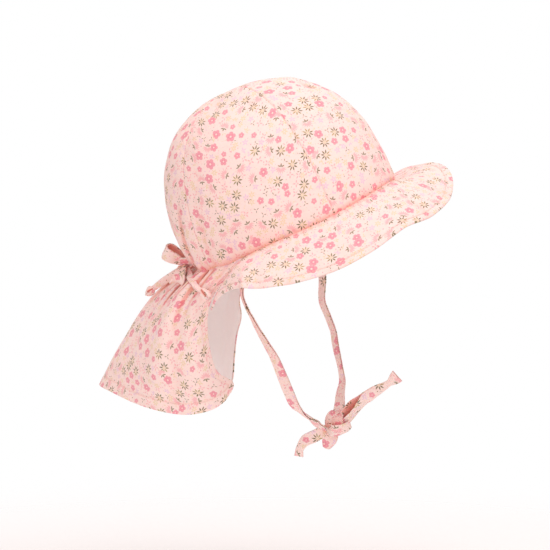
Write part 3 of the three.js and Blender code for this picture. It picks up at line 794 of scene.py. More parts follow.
def cotton_weave():
    """Height of fine crossed threads and of the soft creases that cotton gets with wear, and a painted shade
    that sinks with those creases, on coordinates in millimetres.
    """
    name = "cotton weave"
    if name in bpy.data.node_groups:
        return bpy.data.node_groups[name]
    tree, b, given, put = new_group(
        name, [("Place", "NodeSocketVector", None), ("Crease size", "NodeSocketFloat", 14.0)],
        [("Threads", "NodeSocketFloat"), ("Creases", "NodeSocketFloat"), ("Shade", "NodeSocketFloat")])
    threads = []
    for stretch in ((0.35, 3.6, 1), (3.6, 0.35, 1)):
        place = b.node("ShaderNodeMapping", {"Vector": given["Place"], "Scale": stretch}).outputs[0]
        threads.append(b.node("ShaderNodeTexNoise", {"Vector": place, "Scale": 1.0, "Detail": 2.0},
                              noise_dimensions="2D").outputs[0])
    b.put(put["Threads"], b.math("MULTIPLY", b.math("ADD", *threads), 0.5))
    size = b.math("DIVIDE", 1.0, given["Crease size"])
    place = b.vector("SCALE", {0: given["Place"], "Scale": size})
    swell = b.node("ShaderNodeTexNoise", {
        "Vector": place, "Scale": 1.0, "Detail": 3.0, "Roughness": 0.55, "Distortion": 0.6}).outputs[0]
    ridge = b.math("SUBTRACT", 1.0, b.math("ABSOLUTE", b.math("MULTIPLY_ADD", swell, 4.0, -2.0)))
    b.put(put["Creases"], b.math("ADD", b.math("MULTIPLY", ridge, 0.25), b.math("MULTIPLY", swell, 0.75)))
    # Painted shade: darker where the creases sink
    b.put(put["Shade"], swell)
    return tree


def cotton(name, printed, crease, crease_height):
    """Matt cotton, printed or plain, with creases of a size and height in millimetres."""
    if name in bpy.data.materials:
        return bpy.data.materials[name]
    material, b, shader = new_material(name)
    place = b.node("ShaderNodeUVMap", uv_map="Print").outputs[0]
    solid = b.vector("SCALE", {0: b.node("ShaderNodeTexCoord").outputs["Object"], "Scale": 1 / MM})
    c = colours()
    tint = {key: (*value, 1) for key, value in (
        ("Ground", c.ground), ("Flower", c.flower), ("Blossom", c.blossom), ("Leaf", c.leaf),
        ("Yellow", c.pollen), ("Lilac", c.lilac))}
    # Painted shade from the mesh, which darkens the colour in creases, seams and under other cloth
    deep = b.node("ShaderNodeAttribute", attribute_name="PaintedShade").outputs["Fac"]
    weave = b.node("ShaderNodeGroup", node_tree=cotton_weave())
    b.put(weave.inputs["Place"], place)
    b.put(weave.inputs["Crease size"], crease)
    soft = b.node("ShaderNodeGroup", node_tree=cotton_weave())
    b.put(soft.inputs["Place"], solid)
    b.put(soft.inputs["Crease size"], crease)
    if printed:
        pattern = b.node("ShaderNodeGroup", node_tree=floral_print())
        b.put(pattern.inputs["Place"], place)
        for key, value in tint.items():
            b.put(pattern.inputs[key], value)
        # Where the painted shade runs past 0.95, the print gives way to the plain ground colour
        plain_where_shade_deep = b.math("MULTIPLY", b.math("SUBTRACT", deep, 0.95), 4.0, clamp=True)
        colour = b.mix(plain_where_shade_deep, pattern.outputs["Color"], tint["Ground"])
    else:
        colour = (*c.lining, 1)
    thread_tone = b.math("MULTIPLY_ADD", weave.outputs["Threads"], 0.10, 0.95)
    # Painted shade in the hollows of the creases: the colour follows the same noise that raises them
    crease_shade_tone = b.math("MULTIPLY_ADD", soft.outputs["Shade"], 0.06, 0.97)
    # The weave's thread tone times that painted crease shade
    shade = b.times(thread_tone, crease_shade_tone)
    shaded = b.node("ShaderNodeMix", data_type="RGBA", blend_type="MULTIPLY")
    b.put(shaded.inputs[0], 1.0)
    b.put(shaded.inputs[6], colour)
    # Painted shade: the colour darkens toward salmon pink with the painted shade, and past 1 toward deep red
    painted_crease_shade = b.mix(b.math("MULTIPLY", deep, 0.8, clamp=True), (1, 1, 1, 1), (0.93, 0.52, 0.46, 1))
    painted_crease_shade = b.mix(b.math("SUBTRACT", deep, 1.0, clamp=True), painted_crease_shade, (0.50, 0.16, 0.13, 1))
    even = b.node("ShaderNodeCombineColor", {0: shade, 1: shade, 2: shade}).outputs[0]
    b.put(shaded.inputs[7], b.vector("MULTIPLY", {0: even, 1: painted_crease_shade}))
    b.put(shader.inputs["Base Color"], shaded.outputs[2])
    b.put(shader.inputs["Roughness"], b.math("MULTIPLY_ADD", weave.outputs["Threads"], 0.12, 0.80))
    for socket, value in (
        ("Specular IOR Level", 0.22), ("Sheen Weight", 0.12), ("Sheen Roughness", 0.6),
        ("Subsurface Weight", 0.12), ("Subsurface Radius", (1.0, 0.45, 0.35)), ("Subsurface Scale", 0.003),
    ):
        b.put(shader.inputs[socket], value)
    low = b.node("ShaderNodeBump", {
        "Strength": 1.0, "Distance": crease_height * MM, "Height": soft.outputs["Creases"]})
    fine = b.node("ShaderNodeBump", {
        "Strength": 0.35, "Distance": 0.12 * MM, "Height": weave.outputs["Threads"],
        "Normal": low.outputs[0]})
    b.put(shader.inputs["Normal"], fine.outputs[0])
    return material


def thread():
    """Pale sewing thread."""
    name = "sewing thread"
    if name in bpy.data.materials:
        return bpy.data.materials[name]
    material, b, shader = new_material(name)
    solid = b.node("ShaderNodeTexCoord").outputs["Object"]
    ply = b.node("ShaderNodeTexNoise", {"Vector": solid, "Scale": 2500.0, "Detail": 1.0}).outputs[0]
    b.put(shader.inputs["Base Color"], b.mix(ply, (0.80, 0.52, 0.46, 1), (0.95, 0.72, 0.65, 1)))
    b.put(shader.inputs["Roughness"], b.math("MULTIPLY_ADD", ply, 0.2, 0.55))
    twist = b.node("ShaderNodeBump", {"Strength": 0.5, "Distance": 0.1 * MM, "Height": ply})
    b.put(shader.inputs["Normal"], twist.outputs[0])
    return material


# The hat's faces

def crown_face(turn, climb, puff):
    """Points of the crown's outer face; climb runs from 0 at its lower edge to 1 at its tip."""
    angle = np.radians(climb * CROWN_TIP_ANGLE)
    height = np.sin(angle) ** (2 / CROWN_SQUARENESS)
    side = np.abs((turn + 540) % 360 - 180)
    drop, tuck = read(LOWER_EDGE, 1, side.ravel()), read(LOWER_EDGE, 2, side.ravel())
    drop, tuck = drop.reshape(side.shape), tuck.reshape(side.shape)
    out = np.cos(angle) ** (2 / CROWN_SQUARENESS) * (1 - tuck * (1 - height) ** TUCK_FADE)
    bulge = puff * np.sin(2 * angle) / (sizes().head_length / MM / 2)
    return on_opening(turn, out + bulge, sizes().crown_height / MM * height - drop * (1 - height) ** 2)


def crown_panel(name, node, first, last, columns, seed):
    """One panel of the crown between two turns, with its seams, puckers, creases and dents."""
    across = np.linspace(0, 1, columns + 1)
    across = across - 0.6 * np.sin(2 * np.pi * across) / (2 * np.pi)
    across, climb = np.meshgrid(across, np.linspace(1, 0, CROWN_ROWS + 1))
    turn = first + (last - first) * across
    face = crown_face(turn, climb, PANEL_PUFF * np.sin(np.pi * across))
    n = facing(face)
    u = arc(face, 1)
    width = u[:, -1:]
    v = arc(face, 0)
    seam = np.minimum(u, width - u)
    hem = v[-1:] - v
    push = groove(seam, 0, 0.7, 0.5) + groove(hem, 0, 1.0, 1.2)
    for edge, phase in ((u, first), (width - u, last)):
        pucker = np.sin(2 * np.pi * v / 8.5 + phase) + 0.6 * np.sin(2 * np.pi * v / 13.7 + 2 * phase)
        push = push + 0.24 * np.exp(-edge / 5) * pucker * ease(edge / 1.5)
    gather = np.sin(2 * np.pi * u / 7.9 + seed) + 0.7 * np.sin(2 * np.pi * u / 12.3 + 2 * seed)
    push = push + 0.12 * np.exp(-hem / 7) * gather
    for at, out, wide, reach, lean in CROWN_CREASES:
        for whole in (-360, 0, 360):
            shift = (turn + whole - at - lean * climb / reach) / (wide * (1 + 1.5 * climb / reach))
            push = push + out * bell(shift) * bell(climb / reach)
    for at, up, wide, tall, out in CROWN_SWELLS:
        around = ((turn - at + 180) % 360 - 180) / wide
        push = push + out * bell(around) * bell((climb - up) / tall)
    calm = ease(seam / 12) * ease(hem / 10)
    push = push + 0.9 * crumple(face, 46, 1, 2) * ease(hem / 16)
    push = push + 0.35 * crumple(face, 15, 2, 3) * (0.35 + 0.65 * calm)
    tip = ease((1 - climb) * 14)
    face = face + n * (push * tip - 0.9 * (1 - tip))[..., None]
    uv = np.stack([u - width / 2 + 37.0 * seed, -v + 11.0 * seed], axis=-1)
    # Painted shade: a fine line along the seams, a line and a band that fades up from the lower edge, and the
    # hollows of the creases; none at the tip
    fold = 0.36 * bell(seam / 0.6) + bell(hem / 1.3) + 0.36 * np.exp(-hem / 6)
    fold = fold + 0.9 * hollows(face, (2, 4), 0.5) * ease(seam / 3)
    piece = cloth(name, face, uv, sizes().crown_cloth / MM, cotton("crown cotton", True, 22.0, 0.9),
                  cotton("lining cotton", False, 20.0, 0.5), np.clip(fold * tip, 0, 1))
    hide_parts(node)


def brim_face(turn, span, start):
    """Points of the brim's upper face, span of the way from its seam to its edge, and its widths."""
    out, drop, width, droop, heading = [read(BRIM_STATIONS, k, turn) for k in range(1, 6)]
    droop, heading = np.radians(droop), np.radians(heading)
    seam = on_opening(turn, out, -drop)
    reach = start + (width - start) * span
    sag = BRIM_ROLL * np.sin(np.pi * span) * np.minimum(1, width / 40)
    level = reach * np.cos(droop) + sag * np.sin(droop)
    fall = reach * np.sin(droop) - sag * np.cos(droop)
    return seam + tilted(level * np.cos(heading), level * np.sin(heading), -fall - GAP), width


def build_brim():
    """The printed brim, which waves and tapers along the flap's front edges; gives its upper face."""
    turn = np.linspace(BRIM_STATIONS[0][0], BRIM_STATIONS[-1][0], BRIM_COLUMNS + 1)
    span = np.linspace(0, 1, BRIM_ROWS + 1)
    # It starts under the crown's edge, as far as it is sewn to it
    tuck_in = -BRIM_TUCK * ease((BRIM_SEWN_TO - np.abs(turn)) / 8)
    face, width = zip(*[brim_face(turn, s, 0.2 + tuck_in * (1 - s)) for s in span])
    face, width = np.array(face), np.array(width)
    n = facing(face)
    v = arc(face, 0)
    hem = v[-1:] - v
    run = arc(face, 1)[BRIM_ROWS // 2][None, :]
    free = (v / np.maximum(v[-1:], 1)) ** 2 * np.minimum(1, width / 30)
    push = free * (1.1 * np.sin(run / 15 + 0.6) * np.sin(run / 43 + 1.1) + 0.7 * np.sin(run / 9.3 + 2.0))
    push = push + free * 0.5 * crumple(face, 18, 4, 2)
    push = push + 0.45 * crumple(face, 30, 5, 2) * ease(v / 12) * np.minimum(1, width / 30)
    push = push + 0.22 * np.exp(-v / 6) * np.sin(2 * np.pi * run / 7.4) * ease(v / 1.5)
    narrow = np.minimum(1, width / 14)
    push = push + (groove(hem, BRIM_HEM, 0.9, 0.4) + groove(v, BRIM_SEAM_STITCHING, 0.8, 0.3)) * narrow
    face = face + n * push[..., None]
    hem_cloth = 0.55 * ease((BRIM_HEM - hem) / 1.2) * narrow
    uv = np.stack([np.broadcast_to(run, hem.shape) + 311.0, hem + 77.0], axis=-1)
    # Painted shade along both rows of topstitching, at the seam under the crown's edge, and in the hollows of
    # the waves
    fold = 0.4 * bell((v - BRIM_SEAM_STITCHING) / 0.6) + 0.35 * bell((hem - BRIM_HEM) / 0.6)
    fold = fold * narrow + 0.8 * bell(v / 1.6) + 0.5 * hollows(face, (3, 6), 0.5)
    thickness = (sizes().brim_cloth / MM + hem_cloth) * np.clip(width / 6, 0.5, 1)
    piece = cloth("brim_cloth_piece", face, uv, thickness, cotton("brim cotton", True, 18.0, 0.5), None,
                  np.clip(fold, 0, 1))
    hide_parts("brim")
    return face


def row_at(face, distance, wanted):
    """The line on a face at the wanted distance down its columns, with its outward directions."""
    n = facing(face)
    line, outward = [], []
    for c in range(face.shape[1]):
        column = distance[:, c]
        if column[-1] < wanted < column[0] or column[0] < wanted < column[-1]:
            order = np.argsort(column)
            line.append([np.interp(wanted, column[order], face[order, c, k]) for k in range(3)])
            outward.append([np.interp(wanted, column[order], n[order, c, k]) for k in range(3)])
    return np.array(line), unit(np.array(outward))


def flap_seam(place, inset, rise):
    """The line along the crown's lower edge, set in from it and raised over it."""
    turn = read(FLAP_SECTIONS, 1, place)
    side = np.abs((turn + 540) % 360 - 180)
    drop, tuck = read(LOWER_EDGE, 1, side), read(LOWER_EDGE, 2, side)
    return on_opening(turn, 1 - tuck - inset, rise - drop)


def flap_base(place, fall):
    """Points of the flap before its gathers, fall of the way from its seam to its hem."""
    seam = flap_seam(place, FLAP_SEAM_INSET, -FLAP_SEAM_DROP)
    points = [seam] + [read(FLAP_SECTIONS, k, place) for k in (2, 3, 4)]
    found = np.zeros(seam.shape)
    for span in range(3):
        here = (fall * 3 >= span) & ((fall * 3 < span + 1) | (span == 2))
        found[here] = along([p[here] for p in points], fall[here, None], span)
    return found


def flap_gathers(place, fall):
    """How far the large gathers push the flap out."""
    depth = np.zeros_like(place)
    for at, lean, width, seam, upper, hem in GATHERS:
        shift = (place - at - lean * fall) / (width * (1 + fall))
        above, below = seam + (upper - seam) * 3 * fall, upper + (hem - upper) * 1.5 * (fall - 1 / 3)
        depth = depth + np.where(fall < 1 / 3, above, below) * bell(shift)
    return depth


def flap_pleats(place, fall):
    """How far the small pleats push the flap out, and how far they lean over a hollow beside each."""
    depth, leaning = np.zeros_like(place), np.zeros_like(place)
    for at, lean, width, push, reach in PLEATS:
        pleat = push * bell((place - at - lean * fall) / (width * (1 + 2.2 * fall)))
        depth = depth + pleat * bell(fall / reach) * (0.45 + 0.55 * ease(fall * 14))
        way = 1 if at < NAPE_PLACE else -1
        leaning = leaning + 0.55 * way * pleat * bell(fall / (0.8 * reach)) * ease(fall * 16)
    return depth, leaning


def flap_layer(columns, rows, setback, detail):
    """The flap's outer face, or that face set back, with waved front edges and rounded hem corners."""
    last = len(FLAP_SECTIONS) - 1 - FLAP_FRONT_INSET
    level = np.linspace(0, 1, rows + 1)[:, None]
    share = np.linspace(0, 1, columns + 1)[None, :]
    far_edge = last + waves(FAR_EDGE_WAVES, level)
    near_edge = FLAP_FRONT_INSET + waves(NEAR_EDGE_WAVES, level)
    place = far_edge * (1 - share) + near_edge * share
    fall = level * (1 - waves(HEM_CORNERS, share) * level**4) * (1 - HEM_RISE * level**2)
    base = flap_base(place.ravel(), fall.ravel()).reshape(*place.shape, 3)
    depth = flap_gathers(place, fall)
    leaning = np.zeros_like(depth)
    if detail:
        pleats, leaning = flap_pleats(place, fall)
        depth = depth + pleats
    face = base + facing(base) * depth[..., None] + unit(np.gradient(base, axis=1)) * leaning[..., None]
    from_edge, from_hem = np.minimum(share, 1 - share) * FLAP_CUT, (1 - level) * FLAP_HANG
    close = np.maximum(bell(from_edge / 5), bell(from_hem / 4))
    return face - facing(face) * (setback * (1 - 0.42 * close))[..., None], place, fall


def build_flap():
    """The flap's printed outer cloth with its gathers, pleats and hems; gives its outer face."""
    face, place, fall = flap_layer(390, 118, 0, True)
    under_crown = flap_seam(place[0], FLAP_TUCK_INSET, FLAP_TUCK_RISE)[None]
    face, place, fall = [np.concatenate([first, rest]) for first, rest in (
        (under_crown, face), (place[:1], place), (fall[:1], fall))]
    n = facing(face)
    v, run = arc(face, 0), arc(face, 1)
    hem = v[-1:] - v
    front = np.minimum(run, run[:, -1:] - run)
    push = 0.5 * crumple(face, 30, 6, 2) * ease(v / 20) + 0.25 * crumple(face, 11, 7, 2) * ease(v / 12)
    wave = np.sin(run / 13.0 + 0.7) * np.sin(run / 31.0)
    push = push + 0.8 * ease((v - 40) / 60) * wave
    push = push + groove(hem, FLAP_HEM, 0.8, 0.3) * ease(front / 6)
    push = push + groove(front, FLAP_FRONT_HEM, 0.8, 0.3) * ease(v / 8)
    inner_hem = 0.14 * ease((FLAP_HEM - hem) / 1.5)
    face = face + n * (push + inner_hem)[..., None]
    # Painted shade: the hollows of the pleats and gathers, darker toward the seam, and a band that fades down
    # from the seam under the crown
    fold = hollows(face, (2, 4, 6), 0.5) * (0.35 + 0.65 * ease((70 - v) / 50)) + 0.22 * np.exp(-v / 26)
    # Painted shade: dark slits where a pleat folds over the next
    for at, lean, wide, deep, first, last in SLIT_SHADOWS:
        shift = (place - at - lean * fall) * np.maximum(run[:, -1:] / 9, 1) / wide
        reach = ease((fall - first + 0.01) / 0.02) * ease((last - fall) / (0.6 * (last - first)))
        fold = fold + deep * bell(shift) * reach
    # The cloth is laid out as part of a ring, so that its print isn't drawn askew where it spreads
    middle, upper = face.shape[1] // 2, face.shape[0] // 4
    spread = (run[-1, -1] - run[upper, -1]) / (v[-1, middle] - v[upper, middle])
    radius = run[-1, -1] / spread - hem
    angle = spread * (run / run[:, -1:] - 0.5)
    uv = np.stack([radius * np.sin(angle) + 520.0, -radius * np.cos(angle) + 190.0], axis=-1)
    # Painted shade along the hem's stitching
    fold = fold + 0.35 * bell((hem - FLAP_HEM) / 0.7) * ease(front / 6)
    piece = cloth("neck_flap_cloth_piece", face, uv, sizes().flap_cloth / MM,
                  cotton("flap cotton", True, 16.0, 0.6), None, np.clip(fold, 0, 2))
    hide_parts("neck_flap")
    return face


def build_lining():
    """The flap's plain lining, a little inside its outer cloth."""
    face, place, _ = flap_layer(240, 90, LINING_SETBACK, False)
    n = facing(face)
    v, run = arc(face, 0), arc(face, 1)
    push = 0.35 * (crumple(face, 26, 8, 2) - 1) * ease(v / 16)
    face = face + n * push[..., None]
    hem = v[-1:] - v
    front = np.minimum(run, run[:, -1:] - run)
    keep = face + n * (0.3 * np.maximum(1 - hem / 3, 0) * ease(front / 8))[..., None]
    uv = np.stack([(len(FLAP_SECTIONS) - 1 - place) * FLAP_PLACE_WIDTH, -v], axis=-1)
    piece = cloth("neck_flap_lining_piece", keep, uv, LINING_CLOTH, cotton("lining cotton", False, 20.0, 0.5))
    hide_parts("neck_flap_lining")


def end_knot(name, centre, axis, front, across, high, material):
    """A small knot pulled tight in the end of a tape: the tape wound round itself, its end left showing."""
    axis = unit(np.array(axis, float))
    front = unit(np.array(front, float) - axis * np.dot(axis, front))
    side = np.cross(axis, front)
    share = np.linspace(0, 1, 90)
    turn = 488 * share - 500
    radius = high / 2 - 1.9 + 0.9 * share + 0.7 * ease((turn + 40) / 28)
    angle = np.radians(turn)[:, None]
    line = np.array(centre) + radius[:, None] * (np.cos(angle) * front + np.sin(angle) * side)
    line = line + ((share - 0.6) * 1.3)[:, None] * axis
    strip = [(0, across * 0.6, 0, 0.02, 0.2, 0.6), (0.3, across * 0.9, -6, 0.02, 0.3, 1.5),
             (0.7, across, 5, 0.02, 0.35, 1.5), (1, across * 0.94, 9, 0.02, 0.25, 1.2)]
    # Painted shade on the turn of tape that lies just under the end's edge
    shade = 1.9 * bell((turn + 352) / 16)
    wrap = tape(name, line, axis, strip, material, across * 7, shade, 0.3)
    core = route([np.array(centre) + axis * a for a in (-across * 0.62, 0, across * 0.62)], 24)
    strip = [(0, 2.6, 2.4, 0), (0.3, 5, 5, 0), (0.7, 5, 5, 10), (1, 2.6, 2.4, 0)]
    return wrap, roll(name + "_core", core, front, strip, material, 20, 0.25, 4)


# Operators

class HAT_OT_stage(bpy.types.Operator):
    """Make the camera, the studio lights and the pale floor"""

    bl_idname = "hat.stage"
    bl_label = "Stage"

    def execute(self, context):
        scene = context.scene
        scene.view_settings.view_transform = "Standard"
        right, up, back = view_axes()
        place = right * VIEW_CENTRE[0] + up * VIEW_CENTRE[1] + back * VIEW_DISTANCE
        bpy.ops.object.camera_add(location=place * MM)
        camera = context.object
        camera.rotation_mode = "QUATERNION"
        camera.rotation_quaternion = back.to_track_quat("Z", "Y")
        camera.data.type = "ORTHO"
        camera.data.ortho_scale = PIXELS_ACROSS / PIXELS_PER_MM * MM
        scene.camera = camera
        for name, place, size, power in LAMPS:
            bpy.ops.object.light_add(type="AREA", location=Vector(place) * MM)
            lamp = context.object
            lamp.name = name
            lamp.data.size, lamp.data.energy = size * MM, power
            lamp.rotation_mode = "QUATERNION"
            lamp.rotation_quaternion = (Vector(place) - Vector(LAMPS_AIM)).to_track_quat("Z", "Y")
        world = bpy.data.worlds.new("studio")
        scene.world = world
        world.use_nodes = True
        b = Board(world.node_tree)
        background = world.node_tree.nodes["Background"]
        seen = b.node("ShaderNodeLightPath").outputs["Is Camera Ray"]
        b.put(background.inputs["Color"], b.mix(seen, (0.77, 0.69, 0.67, 1), (1, 1, 1, 1)))
        bpy.ops.mesh.primitive_circle_add(vertices=96, radius=FLOOR_RADIUS * MM, fill_type="NGON",
                                          location=Vector(FLOOR_CENTRE) * MM)
        floor = context.object
        floor.name = "floor"
        floor.data.materials.append(self.floor_material())
        return {"FINISHED"}

    def floor_material(self):
        """A matt pale floor that fades out before its edge."""
        material, b, shader = new_material("pale floor")
        b.put(shader.inputs["Base Color"], (0.93, 0.93, 0.93, 1))
        b.put(shader.inputs["Roughness"], 0.9)
        far = b.length(b.node("ShaderNodeTexCoord").outputs["Object"])
        fade = b.node("ShaderNodeMapRange", {
            "Value": far, "From Min": 0.22, "From Max": 0.58, "To Min": 1.0, "To Max": 0.0},
            interpolation_type="SMOOTHSTEP")
        b.put(shader.inputs["Alpha"], fade.outputs[0])
        return material


class HAT_OT_crown(bpy.types.Operator):
    """Make the four panels of the crown with their seams and creases"""

    bl_idname = "hat.crown"
    bl_label = "Crown"

    def execute(self, context):
        crown_panel("crown_front_panel", "crown_front", -FRONT_SEAM, FRONT_SEAM, 84, 1)
        crown_panel("crown_left_panel", "crown_side_left", FRONT_SEAM, BACK_SEAM, 66, 2)
        crown_panel("crown_back_panel", "crown_back", BACK_SEAM, 360 - BACK_SEAM, 90, 3)
        crown_panel("crown_right_panel", "crown_side_right", -BACK_SEAM, -FRONT_SEAM, 66, 4)
        return {"FINISHED"}


class HAT_OT_brim(bpy.types.Operator):
    """Make the wavy brim and its two rows of topstitching"""

    bl_idname = "hat.brim"
    bl_label = "Brim"

    def execute(self, context):
        face = build_brim()
        v = arc(face, 0)
        lines = [row_at(face, v[-1:] - v, BRIM_HEM), row_at(face, v, BRIM_SEAM_STITCHING)]
        piece = stitches("brim_topstitching", lines, thread())
        return {"FINISHED"}


class HAT_OT_flap(bpy.types.Operator):
    """Make the gathered neck flap, its lining and its hem stitching"""

    bl_idname = "hat.flap"
    bl_label = "Neck flap"

    def execute(self, context):
        face = build_flap()
        build_lining()
        v = arc(face, 0)
        line, outward = row_at(face, v[-1:] - v, FLAP_HEM)
        piece = stitches("flap_hem_stitching", [(line[6:-6], outward[6:-6])], thread())
        return {"FINISHED"}


class HAT_OT_bow(bpy.types.Operator):
    """Make the bow at the nape: its knot, two loops and two knotted tails"""

    bl_idname = "hat.bow"
    bl_label = "Bow"

    def execute(self, context):
        tie = cotton("tape cotton", True, 8.0, 0.35)
        knot = np.array(BOW_KNOT)
        self.loop("bow_loop_up", "bow_loop_upper", (-0.863, 0.066, 0.43), (0.429, -0.216, 0.876),
                  knot + (0, -0.8, 1.2), 18.4, 10.0, tie)
        self.loop("bow_loop_down", "bow_loop_lower", (0.05, -0.8, -0.6), (0.952, -0.12, 0.288),
                  knot + (-0.2, -5.4, -0.6), 15.6, 3.6, tie, -3.2)
        right, up, back = [np.array(axis) for axis in view_axes()]
        wrap = route([knot + right * a + up * b + back * c for a, b, c in BOW_WRAP], 60)
        band = [(0, 4.0, 2.0, 0), (0.25, 5.0, 2.9, 6), (0.5, 5.6, 3.1, 0), (0.75, 5.2, 2.9, -8),
                (1, 4.0, 2.0, -10)]
        piece = roll("bow_knot_wrap", wrap, up, band, tie, 48, 0.16, 5, 2)
        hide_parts("bow_knot")
        middle = [(0, 3, 3, 0), (0.25, 6.5, 6, 0), (0.75, 6.5, 6, 10), (1, 3, 3, 0)]
        line = route([knot + p for p in BOW_CORE], 24)
        core = roll("bow_knot_core", line, (0, 0, 1), middle, tie, 24, 0.2, 5)
        self.tail("bow_tail_far", "bow_tail_left", BOW_TAIL_LEFT, (-0.5, -0.3, 0.8), [
            (0, 5.4, 20, 0.02, 0.5, 0), (0.35, 5.6, 10, 0.4, 0.5, 0.3), (0.7, 5.0, 0, 0.3, 0.6, 0.3),
            (1, 3.6, 10, 0.02, 0.7, 0)], tie, (-111.6, -5.4, -58.8), (-0.83, 0.2, -0.52), back, 7.4, 8.0)
        self.tail("bow_tail_near", "bow_tail_right", BOW_TAIL_RIGHT, (-0.55, -0.1, -0.82), [
            (0, 5.0, 0, 0.02, 0.5, 0), (0.4, 5.0, -30, 0.4, 0.5, 0.3), (0.7, 4.4, -45, 0.3, 0.6, 0.3),
            (1, 3.6, -30, 0.02, 0.7, 0)], tie, (-46.6, -68.6, -47.6), (0.62, -0.3, -0.72), back, 8.6, 8.6)
        return {"FINISHED"}

    def tail(self, name, node, points, wide, stations, material, centre, axis, front, across, high):
        """One tail of the bow and the small knot at its end."""
        line = route(points, 70)
        piece = tape(name, line, wide, stations, material, 90, ends_shade(line, 1.2, 0.5))
        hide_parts(node)
        for part in end_knot(name + "_knot", centre, axis, front, across, high, material):
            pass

    def loop(self, name, node, reach_way, wide, centre, reach, height, material, slide=0.0):
        """One loop of the bow, which reaches out from its centre and comes back to it."""
        ahead, wide = unit(np.array(reach_way)), np.array(wide)
        opening = unit(np.cross(wide, ahead))
        outline = [(0.10, 0.10), (0.35, 0.27), (0.62, 0.45), (0.88, 0.44), (1.0, 0.17)]
        points = [centre + ahead * reach * a + opening * height * h + slide * a * wide for a, h in outline]
        points += [centre + ahead * reach * a - opening * height * h for a, h in reversed(outline)]
        line = route(points, 110)
        stations = [
            (0, 5.6, 0, 0.02, 0.3, 0.8), (0.22, 9.4, 4, 0.02, 0.25, 0.5), (0.5, 10.2, -3, 0.02, 0.2, 0),
            (0.78, 9.6, 5, 0.02, 0.25, 0.4), (1, 5.6, 0, 0.02, 0.3, 0.8),
        ]
        piece = tape(name, line, wide, stations, material, 30, ends_shade(line, 1.3, 1.3, 3.2), 0.35, 1.2)
        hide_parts(node)


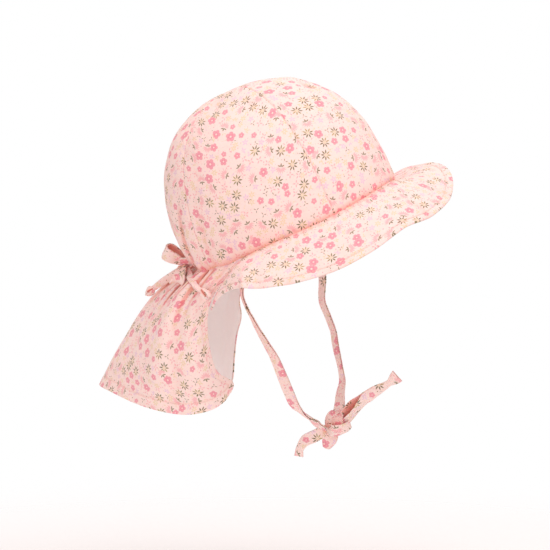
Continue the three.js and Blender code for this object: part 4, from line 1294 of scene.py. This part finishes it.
class HAT_OT_ties(bpy.types.Operator):
    """Make the chin ties, their knot under the chin and the free ends"""

    bl_idname = "hat.ties"
    bl_label = "Chin ties"

    def execute(self, context):
        tie = cotton("tape cotton", True, 8.0, 0.35)
        wide = sizes().tape_width / MM
        stations = [(0, 5, 4, 0), (0.4, 11, 6, 10), (0.8, 9, 6, 0), (1, 5, 4, 0)]
        core = roll("chin_knot_core", route(CHIN_CORE, 40), (1, 0, 0.2), stations, tie, 24, 0.3, 7)
        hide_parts("chin_knot")
        line = route(CHIN_LOBE, 50)
        lobe = tape("chin_knot_lobe", line, (1, 0.2, 0), [
            (0, 5.5, 0, 0.1, 0.3, 0.5), (0.3, 7.4, 0, 0.3, 0.5, 0.8), (0.6, 8.2, 6, 0.3, 0.5, 0.8),
            (1, 7.0, 0, 0.1, 0.4, 0.5)], tie, 50, ends_shade(line, 0.6, 1.5, 3.4), 0.35)
        line = route(CHIN_STUB, 40)
        stub = tape("chin_knot_stub", line, (1, 0, -0.25), [
            (0, 11.5, 0, 0.4, 0.7, 0.6), (0.35, 12.0, 4, 0.6, 0.7, 0.8), (0.7, 9.5, 0, 0.8, 0.8, 1.2),
            (1, 5.4, -6, 0.6, 0.6, 1.0)], tie, 140, ends_shade(line, 1.2, 0.3), 0.5)
        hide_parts("chin_stub")
        line = route(LOWER_TAIL, 60)
        turned = ease((np.linspace(0, 1, len(line))[:, None] - 0.2) / 0.7)
        lying = np.array((0.5, -0.2, 0.85)) * (1 - turned) + np.array((-1.0, 0.2, 0.2)) * turned
        lower = tape("chin_tail_down", line, lying, [
            (0, 7.0, 0, 0.1, 0.5, 0), (0.25, 8.6, 0, 0.3, 0.6, 0.4), (0.55, 8.6, 8, 0.3, 0.6, 0.4),
            (0.78, 6.6, 4, 0.1, 0.8, 0.2), (0.88, 6.0, 2, 0.3, 0.9, 0.6), (1, 7.0, 0, 1.2, 0.8, 0.8)],
            tie, 170, ends_shade(line, 1.3, 0), 0.3)
        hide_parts("chin_tail_lower")
        self.cord("chin_tie_near", "chin_tie_right", NEAR_TIE, (1, 0, 0), [
            (0, wide, 0, 0.1, 0.35, 0), (0.1, wide * 0.68, 42, 0.2, 0.4, 0),
            (0.2, wide * 0.62, 54, 0.3, 0.4, 0), (0.32, wide * 0.86, 34, 0.3, 0.4, 0),
            (0.45, wide, 8, 0.3, 0.4, 0), (0.6, wide * 1.05, -12, 0.4, 0.4, 0.2),
            (0.7, wide, 8, 0.4, 0.5, 0), (0.765, wide * 0.62, 35, 0.1, 0.8, 0),
            (0.81, wide * 0.9, 30, 0.1, 0.6, 0), (0.86, 10.4, 62, 0.2, 0.5, 0.8),
            (0.91, 8.6, 74, 0.1, 0.6, 0.8), (0.95, 6.6, 76, 0.1, 0.7, 0.6), (1, 3.6, 80, 0.05, 0.5, 0.4)],
            tie, "knot", [core, stub, lower, lobe], painted_start_shade=0.7)
        self.cord("chin_tie_far", "chin_tie_left", FAR_TIE, (1, 0, 0.2), [
            (0, wide, 0, 0.1, 0.35, 0), (0.2, wide * 0.95, 20, 0.2, 0.4, 0),
            (0.42, wide * 0.9, 40, 0.2, 0.4, 0), (0.55, wide * 0.84, 30, 0.3, 0.4, 0),
            (0.68, wide * 0.66, 30, 0.3, 0.5, 0), (0.84, wide * 0.98, -8, 0.2, 0.5, 0.2),
            (0.94, wide * 1.3, 0, 0.2, 0.4, 0.3), (1, wide * 1.35, 0, 0.1, 0.3, 0.3)],
            tie, "object", [], 2.0)
        self.cord("chin_tail_up", "chin_tail_upper", UPPER_TAIL, (-0.659, -0.0755, 0.749), [
            (0, 8.0, 35, 3.0, 0.5, 0), (0.12, 10.4, 46, 6.5, 0.5, 0), (0.28, 10.8, 50, 7.4, 0.4, 0),
            (0.42, 9.8, 40, 3.4, 0.6, 0), (0.52, 8.8, 12, 0.6, 0.9, 0), (0.68, 7.4, 0, 0.2, 0.9, 0),
            (0.8, 5.2, 0, 0.1, 0.9, 0), (0.86, 4.8, 0, 0.1, 0.9, 0), (0.93, 8.4, 12, 0.3, 0.7, 0.6),
            (1, 11.0, 24, 0.6, 0.6, 1.0)], tie, "plain_where_shade_deep", [], 0.0, 1.25)
        return {"FINISHED"}

    def cord(self, name, node, points, wide, stations, material, far_end, with_pieces,
             end_shade=0.0, size=1.0, painted_start_shade=0.0):
        """One of the ties or free tails: its tape."""
        line = route(points, 220)
        # Painted shade: from the end where the tie goes under other cloth, and along the start of the near
        # tie under the brim
        shade = ends_shade(line, 0, end_shade, 4.5) + ends_shade(line, painted_start_shade, 0, 60.0)
        piece = tape(name, line, wide, stations, material, 20, shade)
        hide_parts(node)


class HAT_PT_panel(bpy.types.Panel):
    """Lists the hat's parts in the sidebar"""

    bl_idname = "HAT_PT_panel"
    bl_label = "Sun hat"
    bl_space_type = "VIEW_3D"
    bl_region_type = "UI"
    bl_category = "Sun hat"

    def draw(self, context):
        for operator in OPERATORS:
            self.layout.operator(operator.bl_idname)
        for group in (context.scene.hat_sizes, context.scene.hat_colours):
            box = self.layout.box()
            for key in group.bl_rna.properties.keys():
                if key not in ("rna_type", "name"):
                    box.prop(group, key)


OPERATORS = (HAT_OT_stage, HAT_OT_ties, HAT_OT_crown, HAT_OT_brim, HAT_OT_flap, HAT_OT_bow)
CLASSES = (HatSizes, HatColours, *OPERATORS, HAT_PT_panel)


def register():
    for cls in CLASSES:
        bpy.utils.register_class(cls)
    bpy.types.Scene.hat_sizes = bpy.props.PointerProperty(type=HatSizes)
    bpy.types.Scene.hat_colours = bpy.props.PointerProperty(type=HatColours)


def unregister():
    del bpy.types.Scene.hat_colours
    del bpy.types.Scene.hat_sizes
    for cls in reversed(CLASSES):
        bpy.utils.unregister_class(cls)


def main():
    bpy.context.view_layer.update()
    bpy.ops.object.select_all(action="DESELECT")
    register()
    bpy.ops.hat.stage()
    bpy.ops.hat.ties()
    bpy.ops.hat.crown()
    bpy.ops.hat.brim()
    bpy.ops.hat.flap()
    bpy.ops.hat.bow()


if __name__ == "__main__":
    main()
